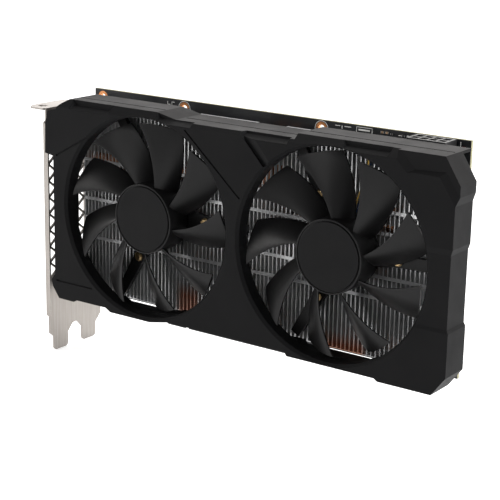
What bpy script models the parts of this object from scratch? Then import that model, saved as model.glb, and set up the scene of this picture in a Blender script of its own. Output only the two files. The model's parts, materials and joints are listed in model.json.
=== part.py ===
"""Graphics card, two slots wide, with two fans.

Sizes are in millimetres and become metres where a mesh is made.
Card coordinates: X from the bracket's inner face towards the free end, Y from the board's
component face (the cooler is at -Y), Z from the tips of the bracket's tongues.
The empty called card moves all of it so that the world origin is on the bottom face of the
edge connector, in the middle of its length and of the board's thickness.
"""
import math

import bmesh
import bpy
from mathutils import Vector
from mathutils.geometry import delaunay_2d_cdt

MM = 0.001
GAP = 0.3                      # air left between pieces that touch or seat on each other

# ---- board (standard full-height card) ----
BOARD_LENGTH = 203.6
BOARD_LEFT = 1.5               # from the bracket's inner face
BOARD_THICK = 1.57
BOARD_HEIGHT = 111.15          # from the edge connector's bottom to the top edge
EDGE_BOTTOM = 15.65            # edge connector's bottom above the tongue tips
EDGE_TAB = 8.0                 # how far the edge connector stands below the board
EDGE_LEFT = 46.5
EDGE_SHORT = 11.65             # contacts before the key notch
EDGE_NOTCH = 1.9
EDGE_LONG = 71.35              # contacts after the key notch
EDGE_BEVEL = 1.0
HOOK_WIDTH = 4.0               # retention hook behind the edge connector
HOOK_SLOT = 3.0
HOOK_DEPTH = 5.5
PLATED_HOLES_X = (6.5, 56.5, 132.5)
PLATED_HOLE_BELOW_TOP = 3.8
PLATED_HOLE_RADIUS = 1.7

# ---- bracket ----
BRACKET_THICK = 0.86
BRACKET_NEAR = -34.6           # edge on the fan side
BRACKET_FAR = 4.1
BRACKET_TAB_HEIGHT = 120.02    # underside of the screw tab above the tongue tips
BRACKET_TAB_REACH = 11.43
TONGUE_HEIGHT = 7.2
TONGUE_WIDTH = 10.15
TONGUE_NEAR = -30.4
SLOT_PITCH = 20.32
FLANGE_DEPTH = 2.8             # stiffening flange bent along the fan-side edge
FLANGE_BOTTOM = 19.0
FLANGE_TOP = 114.0
VENT_BOTTOM = 37.0
VENT_PITCH = 8.1               # height of one zigzag
VENT_ROWS = 8
VENT_COLUMNS = 4
VENT_COLUMN_PITCH = 6.57
VENT_WIDTH = 5.2
VENT_LEFT = -32.0
VENT_STRUT = 1.0
LUG_LENGTH = 9.0
LUG_WIDTH = 8.0
LUG_HEIGHTS = (28.5, 96.5)
PORT_OVERHANG = 0.4            # port shells stand this far outside the bracket
PORT_BASE = 0.5                # port shells above the board
PORT_DEPTH = 10.0
PORTS = (                      # name, height of centre, width along Z, height above board
    ("display_port_1", 42.0, 16.2, 5.4),
    ("display_port_2", 62.0, 16.2, 5.4),
    ("hdmi_port", 82.0, 15.0, 5.6),
    ("display_port_3", 110.0, 16.2, 5.4),
)
PORT_WALL = 0.5

# ---- shroud ----
SHROUD_FRONT = -35.5
SHROUD_REAR = -20.5            # rear edge of the side and bottom walls
SHROUD_TOP_REAR = -12.6        # rear edge of the top wall
SHROUD_WALL = 2.2
SHROUD_TOP_WALL = 1.2
SHROUD_FACE = 2.4
SHROUD_OVERHANG = 12.5         # past the board's free end
SHROUD_LEFT = 1.0
SHROUD_BELOW_TOP = 0.3         # top face under the board's top edge
SHROUD_BOTTOM = 28.4
SHROUD_STEP_LEFT = 76.0        # lower middle stretch of the top face
SHROUD_STEP_RIGHT = 141.2
SHROUD_RAMP = 10.5             # length of the slope down to it from the bracket's side
SHROUD_STEP_DROP = 2.2
SHROUD_BEVEL_Y = 4.0           # long bevel between the face and the top
SHROUD_BEVEL_Z = 3.4
SHROUD_BEVEL_END = 27.0        # the long bevel stops this far from the free end
TOP_GROOVE = 0.4               # depth of the lengthwise groove in the top face
NOTCH_DEPTH = 4.15             # notches in the top front edge
BAND_DEPTH = 1.5               # sunk band in the upper free corner
SLASH_DEPTH = 1.3              # sloping groove in the middle of the face
CREASE_DEPTH = 0.6
CREASE_WIDTH = 0.9
WAIST_DEPTH = 0.4              # shallow step across the free end
WAIST_LEFT = 198.0
WAIST_LOW = 55.5
WAIST_HIGH = 90.0
TOP_CORNER = 6.0
SHROUD_TOP_LEFT = 13.6
TUNNEL_REAR = -28.4
TUNNEL_SIDES = 96
TUNNEL_WALL = 1.0
LIP_BEVEL = 1.3

# ---- fans ----
FAN_X = {"left": 60.3, "right": 160.1}
FAN_Z = 77.2
OPENING_RADIUS = 46.3
TIP_CLEARANCE = 2.7
BLADES = 9
BLADE_PHASE = {"left": 14.0, "right": -5.5}
BLADE_THICK = 1.3
BLADE_SPAN = 24.0              # degrees covered by one blade
BLADE_SWEEP = 25.0             # degrees from root to tip
BLADE_STATIONS = 5
BLADE_CHORD_POINTS = 5
BLADE_FRONT = -33.6
BLADE_CLEARANCE = 1.0          # blades' rear edge in front of the hub's
HUB_RADIUS = 16.2
HUB_WALL = 1.5
HUB_FRONT = -35.2
HUB_CLEARANCE = 1.1            # between the hub and the motor plate
HUB_RIM_WIDTH = 0.8
HUB_RIM_RISE = 0.7
LABEL_THICK = 0.3
MAGNET_THICK = 1.5
SHAFT_RADIUS = 1.5
BEARING_WALL = 2.0
STATOR_POLES = 4
LEAD_SPACE = 2.2               # between the motor plate and the fins
FRAME_THICK = 2.2
FRAME_ARM_WIDTH = 4.6
FRAME_ARMS = (0.0, 120.0, 240.0)
ARM_REACH = 48.3
ARM_SCREW_RADIUS = 26.0
SCREW_HOLE_RADIUS = 1.3
FAN_SCREW_HEAD = 2.3

# ---- heatsink ----
FIN_COVER = 1.5                # fins in front of the front pipes
FIN_REAR = -4.6
FIN_LEFT = 9.4
FIN_END_INSET = 0.2            # fin stack's free end inside the board's end
FIN_BOTTOM = 31.2
FIN_BELOW_TOP = 4.0
FIN_THICK = 1.4
FIN_COUNT = 27
WEB_THICK = 1.2
PIPE_RADIUS = 2.5
PIPE_TOP_RUN = 96.5
PIPE_BOTTOM_RUN = 35.6
PIPE_LEGS = {"left": 104.0, "right": 114.0}
PIPE_TOP_BEND = 116.2
PIPE_ELBOW = 8.0
HAIRPIN_LEFT = (57.7, 76.4)
HAIRPIN_RIGHT = (67.6, 86.8)
PIPE_END_LEFT = 14.0
PIPE_END_RIGHT = 178.0
PIPE_LOW_END_LEFT = 66.0
PIPE_LOW_END_RIGHT = 188.0
BASE_THICK = 1.4
BASE_MARGIN = 1.0              # plate left outside each post
POST_RADIUS = 3.0
POST_SPACING_X = 44.0
POST_SPACING_Z = 52.0

# ---- chips and small parts on the board ----
CHIP_X = 109.0
CHIP_Z = 75.0
CARRIER_SIDE = 36.0
CARRIER_THICK = 1.0
DIE_SIDE = 19.0
DIE_THICK = 0.5
MEMORY_WIDTH = 12.0
MEMORY_LENGTH = 14.0
MEMORY_THICK = 1.0
MEMORY_PLACES = ((-31.5, -18.0), (-31.5, 0.0), (-31.5, 18.0), (31.5, -18.0), (31.5, 0.0), (31.5, 18.0))
CHOKE_SIDE = 10.0
CHOKE_HEIGHT = 5.0
CHOKES = 4
CHOKE_PITCH = 14.0
CHOKE_FROM_END = 14.0
CHOKE_LOWEST = 50.0
CAPACITOR_RADIUS = 3.2
CAPACITOR_HEIGHT = 6.2
CAPACITOR_HEIGHTS = (107.5, 40.0)
LEAD_RADIUS = 0.8
LEAD_OFFSET = {"left": 6.6, "right": 8.4}    # where each lead goes over the fins, from the fan's axis
LEAD_BEND = 3.2
LEAD_BELOW_FINS = 0.45         # middle of the lead under the fins' top
LEAD_ROOM = 1.6                # half the width of the notch that it lies in
HEADER_WIDTH = 9.0
HEADER_DEPTH = 3.8
HEADER_HEIGHT = 4.4
HEADER_WALL = 0.75
RETENTION_THICK = 1.2
RETENTION_ARM = 9.0
RETENTION_HOLE = 9.0

# ---- power socket ----
CELL_PITCH = 4.2
CELL_COLUMNS = 4
CELL_ROWS = 2
CELL_OPEN = 3.3
CELL_DEPTH = 9.0
SOCKET_WALL = 0.75
SOCKET_BASE = 1.05
SOCKET_LENGTH = 13.0
SOCKET_FROM_END = 6.1          # from the board's free end to the socket

# ---- places worked out from the sizes above ----
board_right = BOARD_LEFT + BOARD_LENGTH
board_top = EDGE_BOTTOM + BOARD_HEIGHT
board_bottom = EDGE_BOTTOM + EDGE_TAB
edge_right = EDGE_LEFT + EDGE_SHORT + EDGE_NOTCH + EDGE_LONG
edge_middle = (EDGE_LEFT + edge_right) / 2
plated_z = board_top - PLATED_HOLE_BELOW_TOP
shroud_top = board_top - SHROUD_BELOW_TOP
shroud_step = shroud_top - SHROUD_STEP_DROP
shroud_right = board_right + SHROUD_OVERHANG
ramp_top = SHROUD_STEP_LEFT - SHROUD_RAMP
rotor_radius = OPENING_RADIUS - TIP_CLEARANCE
carrier_front = -GAP - CARRIER_THICK
die_front = carrier_front - GAP - DIE_THICK
base_rear = die_front - GAP
base_front = base_rear - BASE_THICK
base_width = POST_SPACING_X + 2 * (POST_RADIUS + BASE_MARGIN)
base_height = POST_SPACING_Z + 2 * (POST_RADIUS + BASE_MARGIN)
pipe_rear_y = base_front - GAP - PIPE_RADIUS
web_rear = pipe_rear_y - PIPE_RADIUS - GAP
web_front = web_rear - WEB_THICK
pipe_front_y = web_front - GAP - PIPE_RADIUS
fin_front = pipe_front_y - PIPE_RADIUS - FIN_COVER
frame_rear = fin_front - LEAD_SPACE
frame_front = frame_rear - FRAME_THICK
hub_rear = frame_front - HUB_CLEARANCE
blade_rear = hub_rear - BLADE_CLEARANCE
fin_right = board_right - FIN_END_INSET
fin_top = board_top - FIN_BELOW_TOP
lead_front = fin_front - GAP - LEAD_RADIUS
lead_top = fin_top - LEAD_BELOW_FINS
header_middle = -GAP - HEADER_DEPTH / 2
header_top = lead_top - LEAD_BEND + HEADER_WALL
bearing_radius = SHAFT_RADIUS + GAP + BEARING_WALL
cup_inside = HUB_RADIUS - HUB_WALL
hub_face = HUB_FRONT + HUB_RIM_RISE
hub_inner_face = hub_face + HUB_WALL


def clear_scene():
    for thing in list(bpy.data.objects):
        bpy.data.objects.remove(thing, do_unlink=True)


def material(name, color, roughness, metallic=0.0):
    found = bpy.data.materials.get(name)
    if found:
        return found
    made = bpy.data.materials.new(name)
    made.use_nodes = True
    shader = made.node_tree.nodes["Principled BSDF"]
    shader.inputs["Base Color"].default_value = (*color, 1.0)
    shader.inputs["Roughness"].default_value = roughness
    shader.inputs["Metallic"].default_value = metallic
    made.diffuse_color = (*color, 1.0)
    return made


def empty(name, place, parent=None):
    made = bpy.data.objects.new(name, None)
    bpy.context.scene.collection.objects.link(made)
    made.parent = parent
    made.location = Vector(place) * MM
    return made


def finish_mesh(name, shape, finish, parent, smooth_angle=None):
    """Turn a bmesh in millimetres into an object of the card."""
    bmesh.ops.recalc_face_normals(shape, faces=shape.faces)
    bmesh.ops.scale(shape, vec=(MM, MM, MM), verts=shape.verts)
    mesh = bpy.data.meshes.new(name)
    shape.to_mesh(mesh)
    shape.free()
    if smooth_angle:
        mesh.shade_smooth()
        mesh.set_sharp_from_angle(angle=math.radians(smooth_angle))
    mesh.materials.append(finish)
    made = bpy.data.objects.new(name, mesh)
    bpy.context.scene.collection.objects.link(made)
    made.parent = parent
    return made


def lift(axis, u, v, along):
    """A point of a flat outline, put at a distance along the axis it is extruded on."""
    if axis == "x":
        return (along, u, v)
    if axis == "y":
        return (u, along, v)
    return (u, v, along)


def inside(point, loops):
    """Even-odd test of a flat point against an outline and its holes."""
    crossings = 0
    for loop in loops:
        for i, (u0, v0) in enumerate(loop):
            u1, v1 = loop[(i + 1) % len(loop)]
            if (v0 > point[1]) != (v1 > point[1]):
                if point[0] < u0 + (point[1] - v0) / (v1 - v0) * (u1 - u0):
                    crossings += 1
    return crossings % 2 == 1


def fill(loops):
    """Triangles between an outline and its holes, with the points that they use."""
    points, edges = [], []
    for loop in loops:
        start = len(points)
        points += [Vector(point) for point in loop]
        edges += [(start + i, start + (i + 1) % len(loop)) for i in range(len(loop))]
    found, _, faces, *_ = delaunay_2d_cdt(points, edges, [], 0, 1e-5)
    kept = []
    for face in faces:
        middle = sum((found[i] for i in face), Vector((0, 0))) / 3
        if inside(middle, loops):
            kept.append(tuple(face))
    return [tuple(point) for point in found], kept


def add_prism(shape, axis, outline, low, high, holes=()):
    """Extrude a flat outline, with holes, between two distances along an axis."""
    if holes:
        flat, faces = fill([list(outline)] + [list(hole) for hole in holes])
    else:
        flat, faces = list(outline), [tuple(range(len(outline)))]
    bottom = [shape.verts.new(lift(axis, u, v, low)) for u, v in flat]
    top = [shape.verts.new(lift(axis, u, v, high)) for u, v in flat]
    sides = set()
    for face in faces:
        shape.faces.new([bottom[i] for i in face])
        shape.faces.new([top[i] for i in face])
        sides.update((face[i], face[(i + 1) % len(face)]) for i in range(len(face)))
    for i, j in sorted(sides):
        if (j, i) not in sides:
            shape.faces.new((bottom[i], bottom[j], top[j], top[i]))


def prism(name, axis, outline, low, high, finish, parent, holes=()):
    shape = bmesh.new()
    add_prism(shape, axis, outline, low, high, holes)
    return finish_mesh(name, shape, finish, parent)


def rectangle(u0, v0, u1, v1):
    return [(u0, v0), (u1, v0), (u1, v1), (u0, v1)]


def circle(u, v, radius, sides, turn=0.0):
    points = []
    for i in range(sides):
        angle = turn + 2 * math.pi * i / sides
        points.append((u + radius * math.cos(angle), v + radius * math.sin(angle)))
    return points


def box(name, low, high, finish, parent):
    return prism(name, "y", rectangle(low[0], low[2], high[0], high[2]), low[1], high[1], finish, parent)


def wedge(name, front_outline, back_outline, front, back, finish, parent):
    """A solid between two outlines of the same number of points, at two depths along Y."""
    shape = bmesh.new()
    near = [shape.verts.new((u, front, v)) for u, v in front_outline]
    far = [shape.verts.new((u, back, v)) for u, v in back_outline]
    shape.faces.new(near)
    shape.faces.new(far)
    count = len(near)
    for i in range(count):
        j = (i + 1) % count
        shape.faces.new((near[i], near[j], far[j], far[i]))
    return finish_mesh(name, shape, finish, parent)


def turned(name, profile, finish, parent, sides=48, smooth_angle=40):
    """Turn a profile of (radius, y) points round the Y axis of the parent.

    A profile that starts and ends on the axis gives a solid with two flat ends.
    """
    shape = bmesh.new()
    rings = []
    for radius, along in profile:
        if radius > 0:
            rings.append([shape.verts.new((u, along, v)) for u, v in circle(0, 0, radius, sides)])
    pairs = list(zip(rings, rings[1:]))
    if profile[0][0] == 0:
        shape.faces.new(rings[0])
        shape.faces.new(rings[-1])
    else:
        pairs.append((rings[-1], rings[0]))
    for this, following in pairs:
        for i in range(sides):
            j = (i + 1) % sides
            shape.faces.new((this[i], this[j], following[j], following[i]))
    return finish_mesh(name, shape, finish, parent, smooth_angle)


def use(target, tool, operation):
    step = target.modifiers.new(tool.name, "BOOLEAN")
    step.operation = operation
    step.solver = "EXACT"
    step.object = tool
    tool.hide_render = True
    tool.display_type = "WIRE"


def cut(target, tool):
    use(target, tool, "DIFFERENCE")


def weld(target, tool):
    use(target, tool, "UNION")


def pipe(name, points, radius, finish, parent, roundness=3):
    """A round bar along a list of points, with flat ends."""
    curve = bpy.data.curves.new(name, "CURVE")
    curve.dimensions = "3D"
    curve.bevel_depth = radius * MM
    curve.bevel_resolution = roundness
    curve.use_fill_caps = True
    line = curve.splines.new("POLY")
    line.points.add(len(points) - 1)
    for target, point in zip(line.points, points):
        target.co = (point[0] * MM, point[1] * MM, point[2] * MM, 1.0)
    curve.materials.append(finish)
    made = bpy.data.objects.new(name, curve)
    bpy.context.scene.collection.objects.link(made)
    made.parent = parent
    return made


def bend(centre, radius, plane, start, end, steps=6):
    """Points of an arc; plane is a pair of unit vectors, the angles are in degrees."""
    points = []
    for i in range(steps + 1):
        angle = math.radians(start + (end - start) * i / steps)
        spot = Vector(centre) + radius * (math.cos(angle) * plane[0] + math.sin(angle) * plane[1])
        points.append(tuple(spot))
    return points


AXIS_X = Vector((1, 0, 0))
AXIS_Y = Vector((0, 1, 0))
AXIS_Z = Vector((0, 0, 1))


def make_board(card, finish):
    notch_left = EDGE_LEFT + EDGE_SHORT
    notch_right = notch_left + EDGE_NOTCH
    hook_left = edge_right + HOOK_SLOT
    outline = [
        (BOARD_LEFT, board_bottom), (EDGE_LEFT, board_bottom),
        (EDGE_LEFT, EDGE_BOTTOM + EDGE_BEVEL), (EDGE_LEFT + EDGE_BEVEL, EDGE_BOTTOM),
        (notch_left, EDGE_BOTTOM), (notch_left, board_bottom),
        (notch_right, board_bottom), (notch_right, EDGE_BOTTOM),
        (edge_right - EDGE_BEVEL, EDGE_BOTTOM), (edge_right, EDGE_BOTTOM + EDGE_BEVEL),
        (edge_right, board_bottom), (hook_left, board_bottom),
        (hook_left, board_bottom - HOOK_DEPTH), (hook_left + HOOK_WIDTH, board_bottom - HOOK_DEPTH),
        (hook_left + HOOK_WIDTH, board_bottom), (board_right, board_bottom),
        (board_right, board_top), (BOARD_LEFT, board_top),
    ]
    holes = [circle(x, plated_z, PLATED_HOLE_RADIUS, 20) for x in PLATED_HOLES_X]
    for x, z in post_places():
        holes.append(circle(x, z, SCREW_HOLE_RADIUS + GAP, 12))
    for z in LUG_HEIGHTS:
        holes.append(circle(LUG_LENGTH / 2 + BOARD_LEFT / 2, z, SCREW_HOLE_RADIUS + GAP, 12))
    return prism("pcb", "y", outline, 0.0, BOARD_THICK, finish, card, holes)


def post_places():
    places = []
    for side_x in (-1, 1):
        for side_z in (-1, 1):
            places.append((CHIP_X + side_x * POST_SPACING_X / 2, CHIP_Z + side_z * POST_SPACING_Z / 2))
    return places


def vent_holes():
    """Triangles between the zigzag struts of the bracket, column by column."""
    holes = []
    half = VENT_PITCH / 2
    slope = math.hypot(half, VENT_WIDTH)
    trim = VENT_STRUT / 2 * slope / VENT_WIDTH      # half a strut, measured along the column's side
    tip = VENT_STRUT / 2 * slope / half             # and measured across the column at a point
    for column in range(VENT_COLUMNS):
        left = VENT_LEFT + column * VENT_COLUMN_PITCH
        right = left + VENT_WIDTH
        for row in range(VENT_ROWS):
            low = VENT_BOTTOM + row * VENT_PITCH
            base = (low + trim, low + VENT_PITCH - trim)
            holes.append([(left, base[0]), (right - tip, low + half), (left, base[1])])
            if row < VENT_ROWS - 1:
                low += half
                base = (low + trim, low + VENT_PITCH - trim)
                holes.append([(right, base[0]), (right, base[1]), (left + tip, low + half)])
    return holes


def port_window(port):
    name, height, width, rise = port
    return rectangle(-PORT_BASE - rise - GAP, height - width / 2 - GAP, GAP - PORT_BASE, height + width / 2 + GAP)


def make_bracket(card, finish):
    near_low = BRACKET_NEAR + 1.4
    far_left = TONGUE_NEAR + SLOT_PITCH
    shoulder = TONGUE_HEIGHT + 4.0
    corner = 1.6
    outline = [(near_low, shoulder - 1.7), (TONGUE_NEAR, TONGUE_HEIGHT)]
    for left in (TONGUE_NEAR, far_left):
        outline += [
            (left, corner), (left + corner * 0.3, corner * 0.3), (left + corner, 0.0),
            (left + TONGUE_WIDTH - corner, 0.0), (left + TONGUE_WIDTH - corner * 0.3, corner * 0.3),
            (left + TONGUE_WIDTH, corner), (left + TONGUE_WIDTH, TONGUE_HEIGHT),
        ]
        if left == TONGUE_NEAR:
            middle = (left + TONGUE_WIDTH + far_left) / 2
            outline += [(middle - 1.8, shoulder - 0.4), (middle, shoulder), (middle + 1.8, shoulder - 0.4),
                        (far_left, TONGUE_HEIGHT)]
    outline += [
        (BRACKET_FAR, shoulder), (BRACKET_FAR, BRACKET_TAB_HEIGHT + BRACKET_THICK),
        (near_low, BRACKET_TAB_HEIGHT + BRACKET_THICK), (near_low, FLANGE_TOP + 1.0),
        (BRACKET_NEAR, FLANGE_TOP), (BRACKET_NEAR, FLANGE_BOTTOM), (near_low, FLANGE_BOTTOM - 1.0),
    ]
    windows = vent_holes() + [port_window(port) for port in PORTS]
    bracket = prism("io_bracket", "x", outline, -BRACKET_THICK, 0.0, finish, card, windows)

    flange_left = BRACKET_NEAR
    flange = box("join_flange", (-BRACKET_THICK / 2, flange_left, FLANGE_BOTTOM),
                 (FLANGE_DEPTH - BRACKET_THICK, flange_left + BRACKET_THICK, FLANGE_TOP), finish, card)
    weld(bracket, flange)

    tab_outline = [
        (-BRACKET_THICK / 2, near_low), (-BRACKET_THICK, near_low - 1.2), (-BRACKET_TAB_REACH + 2.5, near_low - 1.2),
        (-BRACKET_TAB_REACH, near_low + 2.5), (-BRACKET_TAB_REACH, BRACKET_FAR - 14.0),
        (-BRACKET_TAB_REACH + 3.0, BRACKET_FAR - 11.5), (-BRACKET_TAB_REACH + 3.0, BRACKET_FAR - 1.0),
        (-BRACKET_THICK / 2, BRACKET_FAR - 1.0),
    ]
    notches = []
    for slot in range(2):
        notches.append(circle(-BRACKET_TAB_REACH + 5.4, near_low + 4.2 + slot * SLOT_PITCH, 2.2, 16))
    tab = prism("join_tab", "z", tab_outline, BRACKET_TAB_HEIGHT, BRACKET_TAB_HEIGHT + BRACKET_THICK, finish, card,
                notches)
    weld(bracket, tab)

    for index, height in enumerate(LUG_HEIGHTS):
        rear = BOARD_THICK + GAP
        hole = [circle(LUG_LENGTH / 2 + BOARD_LEFT / 2, height, SCREW_HOLE_RADIUS + GAP, 12)]
        lug = prism(f"join_lug_{index + 1}", "y",
                    rectangle(-BRACKET_THICK / 2, height - LUG_WIDTH / 2, LUG_LENGTH, height + LUG_WIDTH / 2),
                    rear, rear + BRACKET_THICK, finish, card, hole)
        weld(bracket, lug)
    return bracket


def make_ports(card, shell_finish):
    """Each display socket is a shell open at the bracket, with its contact tongue inside."""
    for name, height, width, rise in PORTS:
        outer = -BRACKET_THICK - PORT_OVERHANG
        low = (outer, -PORT_BASE - rise, height - width / 2)
        high = (outer + PORT_DEPTH, -PORT_BASE, height + width / 2)
        shell = box(name, low, high, shell_finish, card)
        hollow = box(f"cut_{name}", (outer - 1.0, low[1] + PORT_WALL, low[2] + PORT_WALL),
                     (outer + PORT_DEPTH - 3.0, high[1] - PORT_WALL, high[2] - PORT_WALL), shell_finish, card)
        cut(shell, hollow)
        middle = -PORT_BASE - rise / 2
        tongue = box(f"join_{name}", (outer + 1.5, middle - 0.7, height - width / 2 + 2.5),
                     (outer + PORT_DEPTH - 2.0, middle + 0.7, height + width / 2 - 2.5), shell_finish, card)
        weld(shell, tongue)


def shroud_outline():
    """The face's outer edge, clockwise from the lower left corner."""
    left_wall = SHROUD_LEFT + 5.2
    right = shroud_right
    low = SHROUD_BOTTOM
    return [
        (left_wall, low + 13.0), (SHROUD_LEFT + 2.8, low + 10.0), (SHROUD_LEFT + 3.6, low + 6.8),
        (SHROUD_LEFT + 7.6, low + 1.4), (18.0, low + 1.3), (20.0, low + 2.4), (38.0, low + 2.4), (41.0, low + 0.7),
        (65.0, low + 0.7), (75.0, low + 2.7), (139.8, low + 2.7), (141.0, low + 1.1),
        (184.6, low + 1.1), (186.2, low), (right - 6.3, low), (right, low + 8.4),
        (right, WAIST_LOW), (right - 0.8, WAIST_LOW + 1.5), (right - 0.8, WAIST_HIGH - 2.5), (right, WAIST_HIGH),
        (right, shroud_top - 19.0), (right + 1.1, shroud_top - 15.5), (right + 1.1, shroud_top - 11.0),
        (right - TOP_CORNER, shroud_top), (SHROUD_STEP_RIGHT, shroud_top), (SHROUD_STEP_RIGHT, shroud_step),
        (SHROUD_STEP_LEFT, shroud_step), (ramp_top, shroud_top), (SHROUD_TOP_LEFT, shroud_top),
        (SHROUD_LEFT + 9.0, shroud_top - 2.3), (SHROUD_LEFT + 7.2, shroud_top - 4.8),
        (SHROUD_LEFT + 1.9, shroud_top - 6.2), (SHROUD_LEFT + 0.4, shroud_top - 12.5),
        (SHROUD_LEFT, shroud_top - 26.3), (left_wall, shroud_top - 27.3),
    ]


def inset(outline, distance):
    """The same outline moved inwards by a distance, corner by corner."""
    count = len(outline)
    area = sum(outline[i][0] * outline[(i + 1) % count][1] - outline[(i + 1) % count][0] * outline[i][1]
               for i in range(count))
    inward = 1 if area > 0 else -1
    moved = []
    for i in range(count):
        before, here, after = (Vector(outline[k % count]) for k in (i - 1, i, i + 1))
        first = (here - before).normalized()
        second = (after - here).normalized()
        normal_1 = Vector((-first.y, first.x)) * inward
        normal_2 = Vector((-second.y, second.x)) * inward
        share = 1 + normal_1.dot(normal_2)
        moved.append(tuple(here + (normal_1 + normal_2) * (distance / share)))
    return moved


def make_shroud(card, finish):
    outline = shroud_outline()
    shroud = prism("shroud", "y", outline, SHROUD_FRONT, SHROUD_REAR, finish, card)
    hidden = finish

    # top wall runs further back than the sides
    lap = 1.0
    wall = SHROUD_TOP_WALL
    corner = shroud_right - TOP_CORNER
    strip = [
        (SHROUD_TOP_LEFT, shroud_top), (ramp_top, shroud_top), (SHROUD_STEP_LEFT, shroud_step),
        (SHROUD_STEP_RIGHT, shroud_step), (SHROUD_STEP_RIGHT, shroud_top), (corner, shroud_top),
        (corner, shroud_top - wall), (SHROUD_STEP_RIGHT + wall, shroud_top - wall),
        (SHROUD_STEP_RIGHT + wall, shroud_step - wall), (SHROUD_STEP_LEFT, shroud_step - wall),
        (ramp_top, shroud_top - wall), (SHROUD_TOP_LEFT, shroud_top - wall),
    ]
    weld(shroud, prism("join_top", "y", strip, SHROUD_REAR - lap, SHROUD_TOP_REAR, hidden, card))

    # room inside: a low part right behind the face, and the full room behind that
    upper_wall = shroud_step - SHROUD_WALL - 0.1
    room = [(x, z + SHROUD_WALL - wall if z > upper_wall else z) for x, z in inset(outline, SHROUD_WALL)]
    ceiling = shroud_step - SHROUD_BEVEL_Z - SHROUD_WALL
    low_room = [(x, min(z, ceiling)) for x, z in room]
    cleaned = []
    for point in low_room:
        if not cleaned or (Vector(point) - Vector(cleaned[-1])).length > 0.05:
            cleaned.append(point)
    flat = [p for i, p in enumerate(cleaned)
            if not (p[1] == ceiling and cleaned[i - 1][1] == ceiling
                    and cleaned[(i + 1) % len(cleaned)][1] == ceiling)]
    deep = SHROUD_FRONT + SHROUD_FACE
    behind_bevel = SHROUD_FRONT + SHROUD_BEVEL_Y + SHROUD_WALL
    cut(shroud, prism("cut_low_room", "y", flat, deep, behind_bevel + lap, hidden, card))
    cut(shroud, prism("cut_room", "y", room, behind_bevel, SHROUD_REAR + lap, hidden, card))

    # tunnels round the fans, and their openings with a bevelled lip
    for side, x in FAN_X.items():
        hub = empty(f"{side}_opening", (x, 0, FAN_Z), card)
        outer = OPENING_RADIUS + TUNNEL_WALL
        ring = turned(f"join_tunnel_{side}", [
            (0, SHROUD_FRONT + lap), (outer, SHROUD_FRONT + lap), (outer, TUNNEL_REAR), (0, TUNNEL_REAR)],
            hidden, hub, TUNNEL_SIDES)
        weld(shroud, ring)
        mouth = turned(f"cut_opening_{side}", [
            (0, SHROUD_FRONT - lap), (OPENING_RADIUS + LIP_BEVEL + lap, SHROUD_FRONT - lap),
            (OPENING_RADIUS, SHROUD_FRONT + LIP_BEVEL), (OPENING_RADIUS, TUNNEL_REAR + lap),
            (0, TUNNEL_REAR + lap)], hidden, hub, TUNNEL_SIDES)
        cut(shroud, mouth)

    make_shroud_details(card, shroud, hidden)
    return shroud


def through(near, far, depth, out):
    """Carry the sides of a sloping cutter on from the surface to a distance outside it."""
    share = out / depth
    return [(x + (x - a) * share, z + (z - b) * share) for (x, z), (a, b) in zip(near, far)]


def slope_cut(shroud, name, near, far, depth, finish, card):
    """Cut into the face with sloping sides: near is the outline at the surface, far at the depth."""
    out = 1.0
    cut(shroud, wedge(name, through(near, far, depth, out), far, SHROUD_FRONT - out, SHROUD_FRONT + depth,
                      finish, card))


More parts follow.
